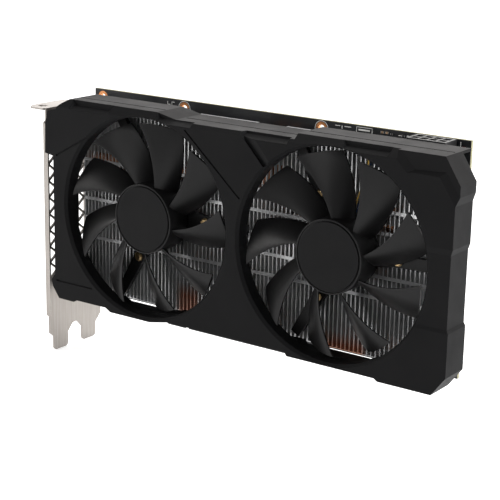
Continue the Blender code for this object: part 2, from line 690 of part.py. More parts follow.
def make_shroud_details(card, shroud, hidden):
    out = 1.0                                       # how far a cutter stands outside the surface
    front = SHROUD_FRONT
    right = shroud_right
    # long bevel between the face and the top
    slope = SHROUD_BEVEL_Y / SHROUD_BEVEL_Z
    profile = [(front - out * slope, shroud_top - SHROUD_BEVEL_Z - out), (front - out * slope, shroud_top + out),
               (front + SHROUD_BEVEL_Y + out * slope, shroud_top + out)]
    cut(shroud, prism("cut_bevel", "x", profile, -out, right - SHROUD_BEVEL_END, hidden, card))

    # notches in the top front edge, each with a sloping floor
    for index, (low, high, floor) in enumerate((
            (15.5, 41.0, shroud_top - 3.1), (66.0, 88.5, shroud_step - 1.0),
            (113.5, SHROUD_STEP_RIGHT - 1.8, shroud_step - 1.6), (163.4, 187.4, shroud_top - 2.6))):
        cut(shroud, wedge(f"cut_notch_{index + 1}",
                          [(low + 1.2, floor - 1.2), (high - 1.2, floor - 1.2), (high + 1.2, shroud_top + out),
                           (low - 1.2, shroud_top + out)],
                          [(low + 1.8, floor + 0.6), (high - 1.8, floor + 0.6), (high + 0.6, shroud_top + out),
                           (low - 0.6, shroud_top + out)],
                          front - out, front + NOTCH_DEPTH, hidden, card))

    # sunk band round the upper free corner, with a broad sloping ledge below it
    beyond = [(right + 6.0, shroud_top - 14.0), (right + 6.0, shroud_top + 3.0)]
    ledge_near = [(right - 33.9, shroud_top + 3.0), (right - 22.1, shroud_top - 8.4),
                  (right - 7.3, shroud_top - 8.2), (right + 4.0, shroud_top - 25.0)]
    ledge_far = [(right - 29.5, shroud_top + 3.0), (right - 18.9, shroud_top - 7.0),
                 (right - 5.3, shroud_top - 6.3), (right + 4.0, shroud_top - 20.0)]
    slope_cut(shroud, "cut_band", ledge_near + beyond, ledge_far + beyond, BAND_DEPTH, hidden, card)

    # groove in the middle of the face: its floor slopes from the surface down to the bracket's side
    slash = bmesh.new()
    corners = [(115.3, shroud_step - 1.9, SLASH_DEPTH), (121.6, shroud_step - 0.9, -0.15),
               (130.5, shroud_step - 11.6, -0.15), (126.5, shroud_step - 13.7, SLASH_DEPTH)]
    floor_points = [slash.verts.new((x, front + depth, z)) for x, z, depth in corners]
    outer_points = [slash.verts.new((x, front - out, z)) for x, z, depth in corners]
    slash.faces.new((floor_points[0], floor_points[1], floor_points[2]))
    slash.faces.new((floor_points[0], floor_points[2], floor_points[3]))
    slash.faces.new(outer_points)
    for i in range(4):
        j = (i + 1) % 4
        slash.faces.new((floor_points[i], floor_points[j], outer_points[j], outer_points[i]))
    cut(shroud, finish_mesh("cut_slash", slash, hidden, card))

    # thin creases in the face
    for index, (x0, z0, x1, z1) in enumerate((
            (8.0, 99.6, 31.0, 112.4), (84.4, 121.4, 114.6, 95.0), (7.0, 38.6, 30.0, 38.6))):
        a, b = Vector((x0, z0)), Vector((x1, z1))
        side = Vector((-(b - a).y, (b - a).x)).normalized() * CREASE_WIDTH / 2
        cut(shroud, prism(f"cut_crease_{index + 1}", "y", [tuple(a + side), tuple(a - side), tuple(b - side),
                                                           tuple(b + side)],
                          front - out, front + CREASE_DEPTH, hidden, card))

    # lengthwise groove in the top face
    for index, (low, high, top) in enumerate((
            (SHROUD_TOP_LEFT + 0.8, ramp_top - 0.6, shroud_top),
            (SHROUD_STEP_LEFT + 1.0, SHROUD_STEP_RIGHT - 1.0, shroud_step),
            (SHROUD_STEP_RIGHT + 0.6, right - TOP_CORNER - 1.0, shroud_top))):
        cut(shroud, box(f"cut_groove_{index + 1}", (low, -24.9, top - TOP_GROOVE), (high, -24.1, top + out),
                        hidden, card))

    # room for the bracket's stiffening flange behind the face's left edge
    cut(shroud, box("cut_flange_room", (-out, BRACKET_NEAR - GAP, FLANGE_BOTTOM),
                    (FLANGE_DEPTH - BRACKET_THICK + GAP, SHROUD_REAR + out, FLANGE_TOP + out), hidden, card))

    # shallow waist across the free end of the face
    slope_cut(shroud, "cut_waist",
              rectangle(WAIST_LEFT, WAIST_LOW, right + 2.0, WAIST_HIGH),
              rectangle(WAIST_LEFT + 1.5, WAIST_LOW + 1.5, right + 2.0, WAIST_HIGH - 2.5), WAIST_DEPTH, hidden, card)


def blade_section(share):
    """Leading angle, trailing angle (degrees) and depths of a blade at a share of its radius."""
    sweep = BLADE_SWEEP * (share ** 0.85) - BLADE_SWEEP
    lead = sweep
    trail = sweep - BLADE_SPAN * (0.92 + 0.08 * share)
    front = BLADE_FRONT + 0.6 * (1 - share)
    rear = blade_rear - 1.2 * share
    return lead, trail, front, rear


def blades_mesh(phase):
    shape = bmesh.new()
    root = HUB_RADIUS - HUB_WALL * 0.5
    for blade in range(BLADES):
        turn = phase + 360.0 * blade / BLADES
        front_grid, back_grid = [], []
        for station in range(BLADE_STATIONS):
            share = station / (BLADE_STATIONS - 1)
            radius = root + (rotor_radius - root) * share
            lead, trail, near, deep = blade_section(share)
            front_row, back_row = [], []
            for step in range(BLADE_CHORD_POINTS):
                part = step / (BLADE_CHORD_POINTS - 1)
                angle = math.radians(turn + lead + (trail - lead) * part)
                camber = near + (deep - near) * (part ** 1.35)
                thick = BLADE_THICK * (0.35 + 0.65 * math.sin(math.pi * (0.12 + 0.76 * part)))
                x, z = radius * math.cos(angle), radius * math.sin(angle)
                front_row.append(shape.verts.new((x, camber - thick / 2, z)))
                back_row.append(shape.verts.new((x, camber + thick / 2, z)))
            front_grid.append(front_row)
            back_grid.append(back_row)
        last = BLADE_CHORD_POINTS - 1
        for s in range(BLADE_STATIONS - 1):
            for c in range(last):
                shape.faces.new((front_grid[s][c], front_grid[s][c + 1], front_grid[s + 1][c + 1],
                                 front_grid[s + 1][c]))
                shape.faces.new((back_grid[s][c], back_grid[s + 1][c], back_grid[s + 1][c + 1],
                                 back_grid[s][c + 1]))
            for c in (0, last):
                shape.faces.new((front_grid[s][c], front_grid[s + 1][c], back_grid[s + 1][c], back_grid[s][c]))
        for s in (0, BLADE_STATIONS - 1):
            for c in range(last):
                shape.faces.new((front_grid[s][c], front_grid[s][c + 1], back_grid[s][c + 1], back_grid[s][c]))
    bmesh.ops.triangulate(shape, faces=shape.faces)
    return shape


def make_fan(card, side, finishes):
    plastic, label, steel, dark, copper, bronze, brass = finishes
    axis = empty(f"fan_{side}_axis", (FAN_X[side], 0, FAN_Z), card)

    rim = HUB_RADIUS - HUB_RIM_WIDTH
    hub_profile = [
        (0, hub_face), (rim, hub_face), (rim + 0.1, HUB_FRONT), (HUB_RADIUS - 0.3, HUB_FRONT),
        (HUB_RADIUS, HUB_FRONT + 0.4), (HUB_RADIUS, hub_rear), (cup_inside, hub_rear),
        (cup_inside, hub_inner_face), (0, hub_inner_face),
    ]
    rotor = turned(f"fan_{side}_rotor", hub_profile, plastic, axis, 36)
    blades = finish_mesh(f"join_blades_{side}", blades_mesh(BLADE_PHASE[side]), plastic, axis, 40)
    weld(rotor, blades)

    label_face = hub_face - GAP
    turned(f"fan_{side}_label", [(0, label_face - LABEL_THICK), (rim - 2 * GAP, label_face - LABEL_THICK),
                                 (rim - 2 * GAP, label_face), (0, label_face)], label, axis, 32)

    magnet_out = cup_inside - GAP
    turned(f"fan_{side}_magnet", [
        (magnet_out - MAGNET_THICK, hub_inner_face + GAP), (magnet_out, hub_inner_face + GAP),
        (magnet_out, hub_rear - 0.8), (magnet_out - MAGNET_THICK, hub_rear - 0.8)], dark, axis, 24)

    turned(f"fan_{side}_shaft", [
        (0, hub_inner_face + GAP), (SHAFT_RADIUS, hub_inner_face + GAP), (SHAFT_RADIUS, frame_front - GAP),
        (0, frame_front - GAP)], steel, axis, 12)

    bore = SHAFT_RADIUS + GAP
    turned(f"fan_{side}_bearing", [
        (bore, hub_inner_face + 1.2), (bearing_radius, hub_inner_face + 1.2),
        (bearing_radius, frame_front - GAP), (bore, frame_front - GAP)], bronze, axis, 16)

    make_stator(axis, side, copper, magnet_out - MAGNET_THICK - 0.5)
    make_frame(axis, side, plastic)
    for index, angle in enumerate(FRAME_ARMS):
        spot = empty(f"fan_{side}_screw_{index + 1}_place",
                     (ARM_SCREW_RADIUS * math.cos(math.radians(angle)), 0,
                      ARM_SCREW_RADIUS * math.sin(math.radians(angle))), axis)
        head = frame_front - GAP
        turned(f"fan_{side}_screw_{index + 1}", [
            (0, head - 1.2), (FAN_SCREW_HEAD - 0.6, head - 1.2), (FAN_SCREW_HEAD, head - 0.5), (FAN_SCREW_HEAD, head),
            (SCREW_HOLE_RADIUS, head), (SCREW_HOLE_RADIUS, frame_rear + 1.0), (0, frame_rear + 1.0)],
            brass, spot, 10)


def make_stator(axis, side, copper, reach):
    """Wound poles round the bearing: a gear-like outline with broad pole shoes."""
    inner = bearing_radius + GAP
    outline = []
    step = 360.0 / STATOR_POLES
    for pole in range(STATOR_POLES):
        middle = pole * step + step / 2
        for radius, offset in ((inner + 1.6, -step / 2), (inner + 2.0, -step * 0.22), (reach - 1.6, -step * 0.16),
                               (reach - 1.4, -step * 0.38), (reach, -step * 0.36), (reach, -step * 0.12),
                               (reach, step * 0.12), (reach, step * 0.36), (reach - 1.4, step * 0.38),
                               (reach - 1.6, step * 0.16), (inner + 2.0, step * 0.22)):
            angle = math.radians(middle + offset)
            outline.append((radius * math.cos(angle), radius * math.sin(angle)))
    prism(f"fan_{side}_stator", "y", outline, hub_inner_face + 1.5, frame_front - 2 * GAP, copper, axis,
          [circle(0, 0, inner, 24)])


def make_frame(axis, side, plastic):
    """Motor plate with three arms that reach behind the tunnel's edge."""
    plate_radius = HUB_RADIUS - 0.6
    frame = turned(f"fan_{side}_frame", [
        (0, frame_front), (plate_radius, frame_front), (plate_radius, frame_rear), (0, frame_rear)],
        plastic, axis, 36)
    for index, angle in enumerate(FRAME_ARMS):
        arm = prism(f"join_arm_{side}_{index + 1}", "y",
                    [(plate_radius - 2.0, -FRAME_ARM_WIDTH), (ARM_SCREW_RADIUS, -FRAME_ARM_WIDTH * 0.62),
                     (ARM_REACH, -FRAME_ARM_WIDTH / 2), (ARM_REACH, FRAME_ARM_WIDTH / 2),
                     (ARM_SCREW_RADIUS, FRAME_ARM_WIDTH * 0.62), (plate_radius - 2.0, FRAME_ARM_WIDTH)],
                    frame_front, frame_rear, plastic, axis)
        arm.rotation_euler = (0, -math.radians(angle), 0)
        weld(frame, arm)
        spot = empty(f"arm_hole_{side}_{index + 1}_place",
                     (ARM_SCREW_RADIUS * math.cos(math.radians(angle)), 0,
                      ARM_SCREW_RADIUS * math.sin(math.radians(angle))), axis)
        hole_radius = SCREW_HOLE_RADIUS + GAP
        cut(frame, turned(f"cut_arm_hole_{side}_{index + 1}", [
            (0, frame_front - 1.0), (hole_radius, frame_front - 1.0), (hole_radius, frame_rear + 1.0),
            (0, frame_rear + 1.0)], plastic, spot, 12))
    return frame


def make_fins(card, finish):
    """A comb: one web across the stack, with upright fins on both of its sides."""
    pitch = (fin_right - FIN_LEFT - FIN_THICK) / (FIN_COUNT - 1)
    front_edge, rear_edge = [], []
    for index in range(FIN_COUNT):
        left = FIN_LEFT + index * pitch
        right = left + FIN_THICK
        if index:
            front_edge.append((left, web_front))
            rear_edge.append((left, web_rear))
        front_edge += [(left, fin_front), (right, fin_front)]
        rear_edge += [(left, FIN_REAR), (right, FIN_REAR)]
        if index < FIN_COUNT - 1:
            front_edge.append((right, web_front))
            rear_edge.append((right, web_rear))
    outline = front_edge + list(reversed(rear_edge))
    fins = prism("fin_stack", "z", outline, FIN_BOTTOM, fin_top, finish, card)

    free = PIPE_RADIUS + 2 * GAP
    leg_left, leg_right = PIPE_LEGS["left"], PIPE_LEGS["right"]
    behind = FIN_REAR + 1.0
    rear_cuts = (                                  # left, right, bottom, top of each room behind the web
        (CHIP_X - base_width / 2 - 1.0, CHIP_X + base_width / 2 + 1.0, FIN_BOTTOM - 1.0,
         CHIP_Z + base_height / 2 + 1.0),
        (leg_left - free, leg_right + free, CHIP_Z, fin_top + 1.0),
        (FIN_LEFT - 1.0, CHIP_X - base_width / 2, HAIRPIN_LEFT[0] - free, HAIRPIN_LEFT[0] + free),
        (FIN_LEFT - 1.0, CHIP_X - base_width / 2, HAIRPIN_LEFT[1] - free, HAIRPIN_LEFT[1] + free),
        (PIPE_LOW_END_LEFT - 1.0, CHIP_X, PIPE_BOTTOM_RUN - free, PIPE_BOTTOM_RUN + free),
        (CHIP_X, fin_right + 1.0, HAIRPIN_RIGHT[0] - free, HAIRPIN_RIGHT[0] + free),
        (CHIP_X, fin_right + 1.0, HAIRPIN_RIGHT[1] - free, HAIRPIN_RIGHT[1] + free),
        (CHIP_X, fin_right + 1.0, PIPE_BOTTOM_RUN - free, PIPE_BOTTOM_RUN + free),
    )
    for index, (left, right, low, high) in enumerate(rear_cuts):
        cut(fins, box(f"cut_rear_{index + 1}", (left, web_rear, low), (right, behind, high), finish, card))
    # the free end's rear corner stays clear of the tall parts and the power socket
    cut(fins, box("cut_parts_room", (board_right - CHOKE_FROM_END - CHOKE_SIDE, web_rear, FIN_BOTTOM - 1.0),
                  (fin_right + 1.0, behind, fin_top + 1.0), finish, card))
    socket_low = board_top - SOCKET_LENGTH - 1.0
    cut(fins, box("cut_socket_room", (socket_left() - 1.0, socket_front() - 2.4, socket_low),
                  (socket_left() + socket_width() + 1.0, behind, fin_top + 1.0), finish, card))
    # the two runs that cross the front fins, and the rooms where the legs come over the top
    front_low = pipe_front_y - PIPE_RADIUS - GAP
    for side, (left, right) in {"left": (FIN_LEFT - 1.0, leg_left), "right": (leg_right, PIPE_END_RIGHT + 6.0)}.items():
        cut(fins, box(f"cut_run_{side}", (left, front_low, PIPE_TOP_RUN - free), (right, web_front, PIPE_TOP_RUN + free),
                      finish, card))
    cut(fins, box("cut_elbows", (leg_left - PIPE_ELBOW - free, front_low, PIPE_TOP_RUN - free),
                  (leg_right + PIPE_ELBOW + free, web_front, PIPE_TOP_RUN + PIPE_ELBOW + free), finish, card))
    cut(fins, box("cut_legs", (leg_left - free, front_low, PIPE_TOP_RUN + PIPE_ELBOW),
                  (leg_right + free, web_front, fin_top + 1.0), finish, card))
    cut(fins, box("cut_over", (leg_left - free, front_low, PIPE_TOP_BEND - GAP),
                  (leg_right + free, behind, fin_top + 1.0), finish, card))
    # notches that the fans' leads lie in
    for side, x in FAN_X.items():
        low, high = x + LEAD_OFFSET[side] - LEAD_ROOM, x + LEAD_OFFSET[side] + LEAD_ROOM
        cut(fins, box(f"cut_lead_{side}", (low, fin_front - 1.0, lead_top - LEAD_RADIUS - GAP),
                      (high, behind, fin_top + 1.0), finish, card))
        cut(fins, box(f"cut_lead_bend_{side}", (low, fin_front - 1.0, lead_top - LEAD_BEND - 2.0),
                      (high, lead_front + LEAD_BEND + GAP, fin_top + 1.0), finish, card))
    return fins


def make_pipes(card, copper):
    rear, front = pipe_rear_y, pipe_front_y
    over_radius = (rear - front) / 2
    over_y = (rear + front) / 2
    for side, facing, run_end, low_end in (("left", -1, PIPE_END_LEFT, PIPE_LOW_END_LEFT),
                                           ("right", 1, PIPE_END_RIGHT, PIPE_LOW_END_RIGHT)):
        x = PIPE_LEGS[side]
        points = [(low_end, rear, PIPE_BOTTOM_RUN)]
        points += bend((x + facing * PIPE_ELBOW, rear, PIPE_BOTTOM_RUN + PIPE_ELBOW), PIPE_ELBOW,
                       (AXIS_X * -facing, AXIS_Z * -1), 90, 0)
        points += bend((x, over_y, PIPE_TOP_BEND), over_radius, (AXIS_Y, AXIS_Z), 0, 180, 8)
        points += bend((x + facing * PIPE_ELBOW, front, PIPE_TOP_RUN + PIPE_ELBOW), PIPE_ELBOW,
                       (AXIS_X * -facing, AXIS_Z * -1), 0, 90)
        points.append((run_end, front, PIPE_TOP_RUN))
        pipe(f"heat_pipe_over_{side}", points, PIPE_RADIUS, copper, card)
    for side, facing, levels, end in (("left", -1, HAIRPIN_LEFT, PIPE_END_LEFT),
                                      ("right", 1, HAIRPIN_RIGHT, PIPE_END_RIGHT)):
        radius = (levels[1] - levels[0]) / 2
        reach = radius + PIPE_RADIUS + PIPE_RADIUS + 2 * GAP
        centre = (PIPE_LEGS[side] + facing * reach, rear, (levels[0] + levels[1]) / 2)
        points = [(end, rear, levels[0])]
        points += bend(centre, radius, (AXIS_Z * -1, AXIS_X * -facing), 0, 180, 10)
        points.append((end, rear, levels[1]))
        pipe(f"heat_pipe_hairpin_{side}", points, PIPE_RADIUS, copper, card)


def make_base(card, aluminium):
    plate = box("base_plate", (CHIP_X - base_width / 2, base_front, CHIP_Z - base_height / 2),
                (CHIP_X + base_width / 2, base_rear, CHIP_Z + base_height / 2), aluminium, card)
    posts, bores = bmesh.new(), bmesh.new()
    for x, z in post_places():
        add_prism(posts, "y", circle(x, z, POST_RADIUS, 20), base_rear - BASE_THICK / 2, -GAP)
        add_prism(bores, "y", circle(x, z, SCREW_HOLE_RADIUS + GAP, 12), base_front - 1.0, 1.0)
    weld(plate, finish_mesh("join_posts", posts, aluminium, card))
    cut(plate, finish_mesh("cut_bores", bores, aluminium, card))
    return plate


def make_chips(card, green, black, silver):
    half = CARRIER_SIDE / 2
    box("gpu_carrier", (CHIP_X - half, carrier_front, CHIP_Z - half), (CHIP_X + half, -GAP, CHIP_Z + half), green, card)
    half = DIE_SIDE / 2
    box("gpu_die", (CHIP_X - half, die_front, CHIP_Z - half), (CHIP_X + half, die_front + DIE_THICK, CHIP_Z + half),
        silver, card)
    for index, (dx, dz) in enumerate(MEMORY_PLACES):
        x, z = CHIP_X + dx, CHIP_Z + dz
        box(f"memory_chip_{index + 1}", (x - MEMORY_WIDTH / 2, -GAP - MEMORY_THICK, z - MEMORY_LENGTH / 2),
            (x + MEMORY_WIDTH / 2, -GAP, z + MEMORY_LENGTH / 2), black, card)


def make_small_parts(card, black, silver, cream):
    centre_x = board_right - CHOKE_FROM_END
    for index in range(CHOKES):
        low = CHOKE_LOWEST + index * CHOKE_PITCH
        corner = 1.2
        left, right = centre_x - CHOKE_SIDE / 2, centre_x + CHOKE_SIDE / 2
        high = low + CHOKE_SIDE
        outline = [(left + corner, low), (right - corner, low), (right, low + corner), (right, high - corner),
                   (right - corner, high), (left + corner, high), (left, high - corner), (left, low + corner)]
        prism(f"choke_{index + 1}", "y", outline, -GAP - CHOKE_HEIGHT, -GAP, black, card)
    for index, height in enumerate(CAPACITOR_HEIGHTS):
        spot = empty(f"capacitor_{index + 1}_place", (centre_x + index * 4.0, 0, height + index * 2.0), card)
        turned(f"capacitor_{index + 1}", [
            (0, -GAP), (CAPACITOR_RADIUS, -GAP), (CAPACITOR_RADIUS, -GAP - CAPACITOR_HEIGHT + 0.4),
            (CAPACITOR_RADIUS - 0.4, -GAP - CAPACITOR_HEIGHT), (0, -GAP - CAPACITOR_HEIGHT)], silver, spot, 24)
    for side, x in FAN_X.items():
        middle = x + LEAD_OFFSET[side]
        half = HEADER_WIDTH / 2
        bottom = header_top - HEADER_HEIGHT
        header = box(f"fan_header_{side}", (middle - half, header_middle - HEADER_DEPTH / 2, bottom),
                     (middle + half, header_middle + HEADER_DEPTH / 2, header_top), cream, card)
        room = HEADER_DEPTH / 2 - HEADER_WALL
        cut(header, box(f"cut_header_{side}", (middle - half + HEADER_WALL, header_middle - room, bottom + HEADER_WALL),
                        (middle + half - HEADER_WALL, header_middle + room, header_top + 1.0), cream, card))


def socket_width():
    return CELL_COLUMNS * CELL_PITCH + 2 * SOCKET_WALL


def socket_left():
    return board_right - SOCKET_FROM_END - socket_width()


def socket_front():
    return -SOCKET_BASE - CELL_ROWS * CELL_PITCH - 2 * SOCKET_WALL


def make_power_socket(card, black):
    left, front = socket_left(), socket_front()
    outline = rectangle(left, front, left + socket_width(), -SOCKET_BASE)
    low = board_top - SOCKET_LENGTH
    socket = prism("power_socket", "z", outline, low, board_top, black, card)
    shape = bmesh.new()
    for row in range(CELL_ROWS):
        for column in range(CELL_COLUMNS):
            x = left + SOCKET_WALL + CELL_PITCH * (column + 0.5)
            y = front + SOCKET_WALL + CELL_PITCH * (row + 0.5)
            half = CELL_OPEN / 2
            add_prism(shape, "z", rectangle(x - half, y - half, x + half, y + half),
                      board_top - CELL_DEPTH, board_top + 1.0)
    cut(socket, finish_mesh("cut_cells", shape, black, card))
    latch = box("join_latch", (left + socket_width() / 2 - 2.2, front - 1.1, low + 2.0),
                (left + socket_width() / 2 + 2.2, front + 0.4, board_top - 3.0), black, card)
    weld(socket, latch)


def make_fasteners(card, steel):
    rear = BOARD_THICK + GAP
    half_x, half_z = POST_SPACING_X / 2, POST_SPACING_Z / 2
    arm = RETENTION_ARM / 2
    outline = [
        (-half_x - arm, -half_z - arm), (-half_x + arm, -half_z - arm), (0, -arm * 2.2), (half_x - arm, -half_z - arm),
        (half_x + arm, -half_z - arm), (half_x + arm, -half_z + arm), (arm * 2.2, 0), (half_x + arm, half_z - arm),
        (half_x + arm, half_z + arm), (half_x - arm, half_z + arm), (0, arm * 2.2), (-half_x + arm, half_z + arm),
        (-half_x - arm, half_z + arm), (-half_x - arm, half_z - arm), (-arm * 2.2, 0), (-half_x - arm, -half_z + arm),
    ]
    outline = [(CHIP_X + x, CHIP_Z + z) for x, z in outline]
    holes = [circle(x, z, SCREW_HOLE_RADIUS + GAP, 12) for x, z in post_places()]
    holes.append(rectangle(CHIP_X - RETENTION_HOLE / 2, CHIP_Z - RETENTION_HOLE / 2,
                           CHIP_X + RETENTION_HOLE / 2, CHIP_Z + RETENTION_HOLE / 2))
    prism("retention_plate", "y", outline, rear, rear + RETENTION_THICK, steel, card, holes)
    head = rear + RETENTION_THICK + GAP
    for index, (x, z) in enumerate(post_places()):
        make_screw(f"spring_screw_{index + 1}", (x, z), head, base_rear - BASE_THICK / 2, card, steel)
    head = rear + BRACKET_THICK + GAP
    for index, z in enumerate(LUG_HEIGHTS):
        make_screw(f"bracket_screw_{index + 1}", (LUG_LENGTH / 2 + BOARD_LEFT / 2, z), head, -1.4, card, steel)


def make_screw(name, place, head, tip, card, steel):
    spot = empty(f"{name}_place", (place[0], 0, place[1]), card)
    turned(name, [
        (0, head + 1.6), (1.6, head + 1.6), (2.6, head + 0.9), (2.6, head), (SCREW_HOLE_RADIUS, head),
        (SCREW_HOLE_RADIUS, tip), (0, tip)], steel, spot, 10)


def make_leads(card, rubber):
    """A lead from behind each motor plate, up the fins' front, over their top and into its header."""
    for side, x in FAN_X.items():
        over = x + LEAD_OFFSET[side]
        low = lead_top - LEAD_BEND
        climb = smooth_route([
            (x, lead_front, FAN_Z + 9.0), (x + 2.4, lead_front, FAN_Z + 17.0), (x + 4.6, lead_front, FAN_Z + 25.0),
            (over - 0.6, lead_front, FAN_Z + 34.0), (over, lead_front, low - 1.5)], 4)
        first = bend((over, lead_front + LEAD_BEND, low), LEAD_BEND, (-AXIS_Y, AXIS_Z), 0, 90)
        second = bend((over, header_middle - LEAD_BEND, low), LEAD_BEND, (AXIS_Z, AXIS_Y), 0, 90)
        seat = (over, header_middle, header_top - HEADER_HEIGHT + HEADER_WALL + GAP)
        pipe(f"fan_{side}_lead", climb + first + second + [seat], LEAD_RADIUS, rubber, card, 2)


def smooth_route(points, steps):
    """A smooth curve through the points of a route."""
    path = [Vector(p) for p in points]
    ends = [path[0] * 2 - path[1]] + path + [path[-1] * 2 - path[-2]]
    smooth = []
    for i in range(1, len(ends) - 2):
        a, b, c, d = ends[i - 1:i + 3]
        for k in range(steps):
            t = k / steps
            smooth.append(tuple(0.5 * (2 * b + (c - a) * t + (2 * a - 5 * b + 4 * c - d) * t ** 2
                                       + (3 * b - a - 3 * c + d) * t ** 3)))
    smooth.append(tuple(path[-1]))
    return smooth


def main():
    clear_scene()
    black_board = material("black board", (0.012, 0.013, 0.016), 0.45)
    shroud_plastic = material("shroud plastic", (0.020, 0.020, 0.022), 0.55)
    fan_plastic = material("fan plastic", (0.017, 0.017, 0.019), 0.38)
    bracket_steel = material("bracket steel", (0.42, 0.39, 0.36), 0.38, 1.0)
    fin_metal = material("fin aluminium", (0.80, 0.81, 0.82), 0.30, 1.0)
    copper = material("heat pipe copper", (0.72, 0.36, 0.20), 0.28, 1.0)
    winding = material("stator winding", (0.55, 0.26, 0.10), 0.45, 1.0)
    bronze = material("bearing bronze", (0.45, 0.30, 0.14), 0.45, 1.0)
    brass = material("screw brass", (0.62, 0.46, 0.25), 0.35, 1.0)
    steel = material("screw steel", (0.55, 0.55, 0.56), 0.35, 1.0)
    magnet = material("magnet ferrite", (0.05, 0.045, 0.045), 0.6)
    label = material("hub label", (0.024, 0.024, 0.027), 0.5)
    socket_plastic = material("socket plastic", (0.015, 0.015, 0.016), 0.5)
    header_plastic = material("header plastic", (0.75, 0.72, 0.62), 0.5)
    carrier_green = material("chip carrier", (0.03, 0.10, 0.05), 0.5)
    chip_black = material("chip black", (0.02, 0.02, 0.022), 0.5)
    die_silver = material("die silicon", (0.30, 0.31, 0.34), 0.15, 1.0)
    tin = material("port shell", (0.60, 0.60, 0.60), 0.30, 1.0)
    lead = material("lead sleeve", (0.02, 0.02, 0.02), 0.6)

    card = empty("card", (-edge_middle, -BOARD_THICK / 2, -EDGE_BOTTOM))
    make_board(card, black_board)
    make_bracket(card, bracket_steel)
    make_ports(card, tin)
    make_shroud(card, shroud_plastic)
    finishes = (fan_plastic, label, steel, magnet, winding, bronze, brass)
    for side in FAN_X:
        make_fan(card, side, finishes)
    make_fins(card, fin_metal)
    make_pipes(card, copper)
    make_base(card, fin_metal)
    make_chips(card, carrier_green, chip_black, die_silver)
    make_small_parts(card, chip_black, tin, header_plastic)
    make_power_socket(card, socket_plastic)
    make_fasteners(card, steel)
    make_leads(card, lead)


main()
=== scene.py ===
import json
import math
import random

import bmesh
import bpy
from mathutils import Matrix, Vector


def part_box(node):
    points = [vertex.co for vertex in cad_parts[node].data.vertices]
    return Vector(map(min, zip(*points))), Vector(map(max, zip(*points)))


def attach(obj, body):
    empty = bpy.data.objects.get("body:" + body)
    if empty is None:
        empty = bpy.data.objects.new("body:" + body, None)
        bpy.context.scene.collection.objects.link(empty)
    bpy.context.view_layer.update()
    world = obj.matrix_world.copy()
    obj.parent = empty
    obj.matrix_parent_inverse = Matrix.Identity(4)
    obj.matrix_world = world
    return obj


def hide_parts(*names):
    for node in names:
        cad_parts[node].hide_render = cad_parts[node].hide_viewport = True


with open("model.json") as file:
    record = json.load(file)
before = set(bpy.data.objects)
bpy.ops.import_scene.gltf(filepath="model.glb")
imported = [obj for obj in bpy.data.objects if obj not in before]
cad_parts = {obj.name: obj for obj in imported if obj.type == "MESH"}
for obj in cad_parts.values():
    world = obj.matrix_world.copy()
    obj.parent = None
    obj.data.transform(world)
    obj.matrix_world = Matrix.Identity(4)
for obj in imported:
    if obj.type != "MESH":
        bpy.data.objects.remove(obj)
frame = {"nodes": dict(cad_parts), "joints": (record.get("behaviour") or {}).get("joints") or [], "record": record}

# Lengths below are in millimetres from the bracket's inner face (x), the board's
# component face (y, fans at -y) and the tips of the bracket's tongues (z).
millimetre = 0.001
hair = 0.01                                        # a step too small to see
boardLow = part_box("pcb")[0]
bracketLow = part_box("io_bracket")[0]
boardStart = 1.5                                   # board's near end from the bracket's inner face
cardZero = Vector((boardLow.x - boardStart * millimetre, boardLow.y, bracketLow.z))
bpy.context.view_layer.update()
nodes = frame["nodes"]


def cardBox(node):
    low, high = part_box(node)
    return (low - cardZero) / millimetre, (high - cardZero) / millimetre


cameraLook = {
    "place": (0.37804, -0.52480, 0.22158),
    "azimuth": 35.33,
    "elevation": 15.3,
    "roll": 1.15,
    "lens": 103.82,
    "sensor": 36.0,
    "clip": (0.05, 50.0),
}


def addCamera(look):
    data = bpy.data.cameras.new("camera")
    data.lens = look["lens"]
    data.sensor_width = look["sensor"]
    data.clip_start, data.clip_end = look["clip"]
    camera = bpy.data.objects.new("camera", data)
    bpy.context.scene.collection.objects.link(camera)
    a, e, r = (math.radians(look[key]) for key in ("azimuth", "elevation", "roll"))
    back = Vector((math.sin(a) * math.cos(e), -math.cos(a) * math.cos(e), math.sin(e)))
    right = Vector((math.cos(a), math.sin(a), 0))
    up = back.cross(right)
    rolledRight = right * math.cos(r) + up * math.sin(r)
    rolledUp = up * math.cos(r) - right * math.sin(r)
    turn = Matrix((rolledRight, rolledUp, back)).transposed().to_4x4()
    camera.matrix_world = Matrix.Translation(Vector(look["place"])) @ turn
    bpy.context.scene.camera = camera


stageLook = {
    "floorSize": 40.0,
    "floorDrop": 0.0002,
    "floorColor": (0.93, 0.93, 0.93),
    "floorRoughness": 0.9,
    "floorGlow": 0.52,
    "worldColor": (0.97, 0.98, 1.0),
    "worldLight": 0.22,
    "lights": (                                    # place, aimed at, size, power, colour
        ((-0.16, 2.10, 0.86), (0.0, 0.0, 0.10), (4.2, 1.75), 50.0, (1.0, 0.97, 0.95)),
        ((-0.35, 0.30, 1.30), (0.0, 0.0, 0.05), (0.9, 0.7), 7.0, (1.0, 0.98, 0.96)),
        ((-1.10, -0.60, 0.55), (0.0, 0.0, 0.06), (0.7, 0.6), 6.0, (1.0, 0.98, 0.96)),
        ((0.30, -1.40, 0.90), (0.0, 0.0, 0.06), (1.4, 0.8), 9.0, (1.0, 0.99, 0.98)),
        ((0.85, 0.30, 0.80), (0.05, 0.0, 0.06), (0.8, 0.6), 9.0, (0.97, 0.985, 1.0)),
    ),
}


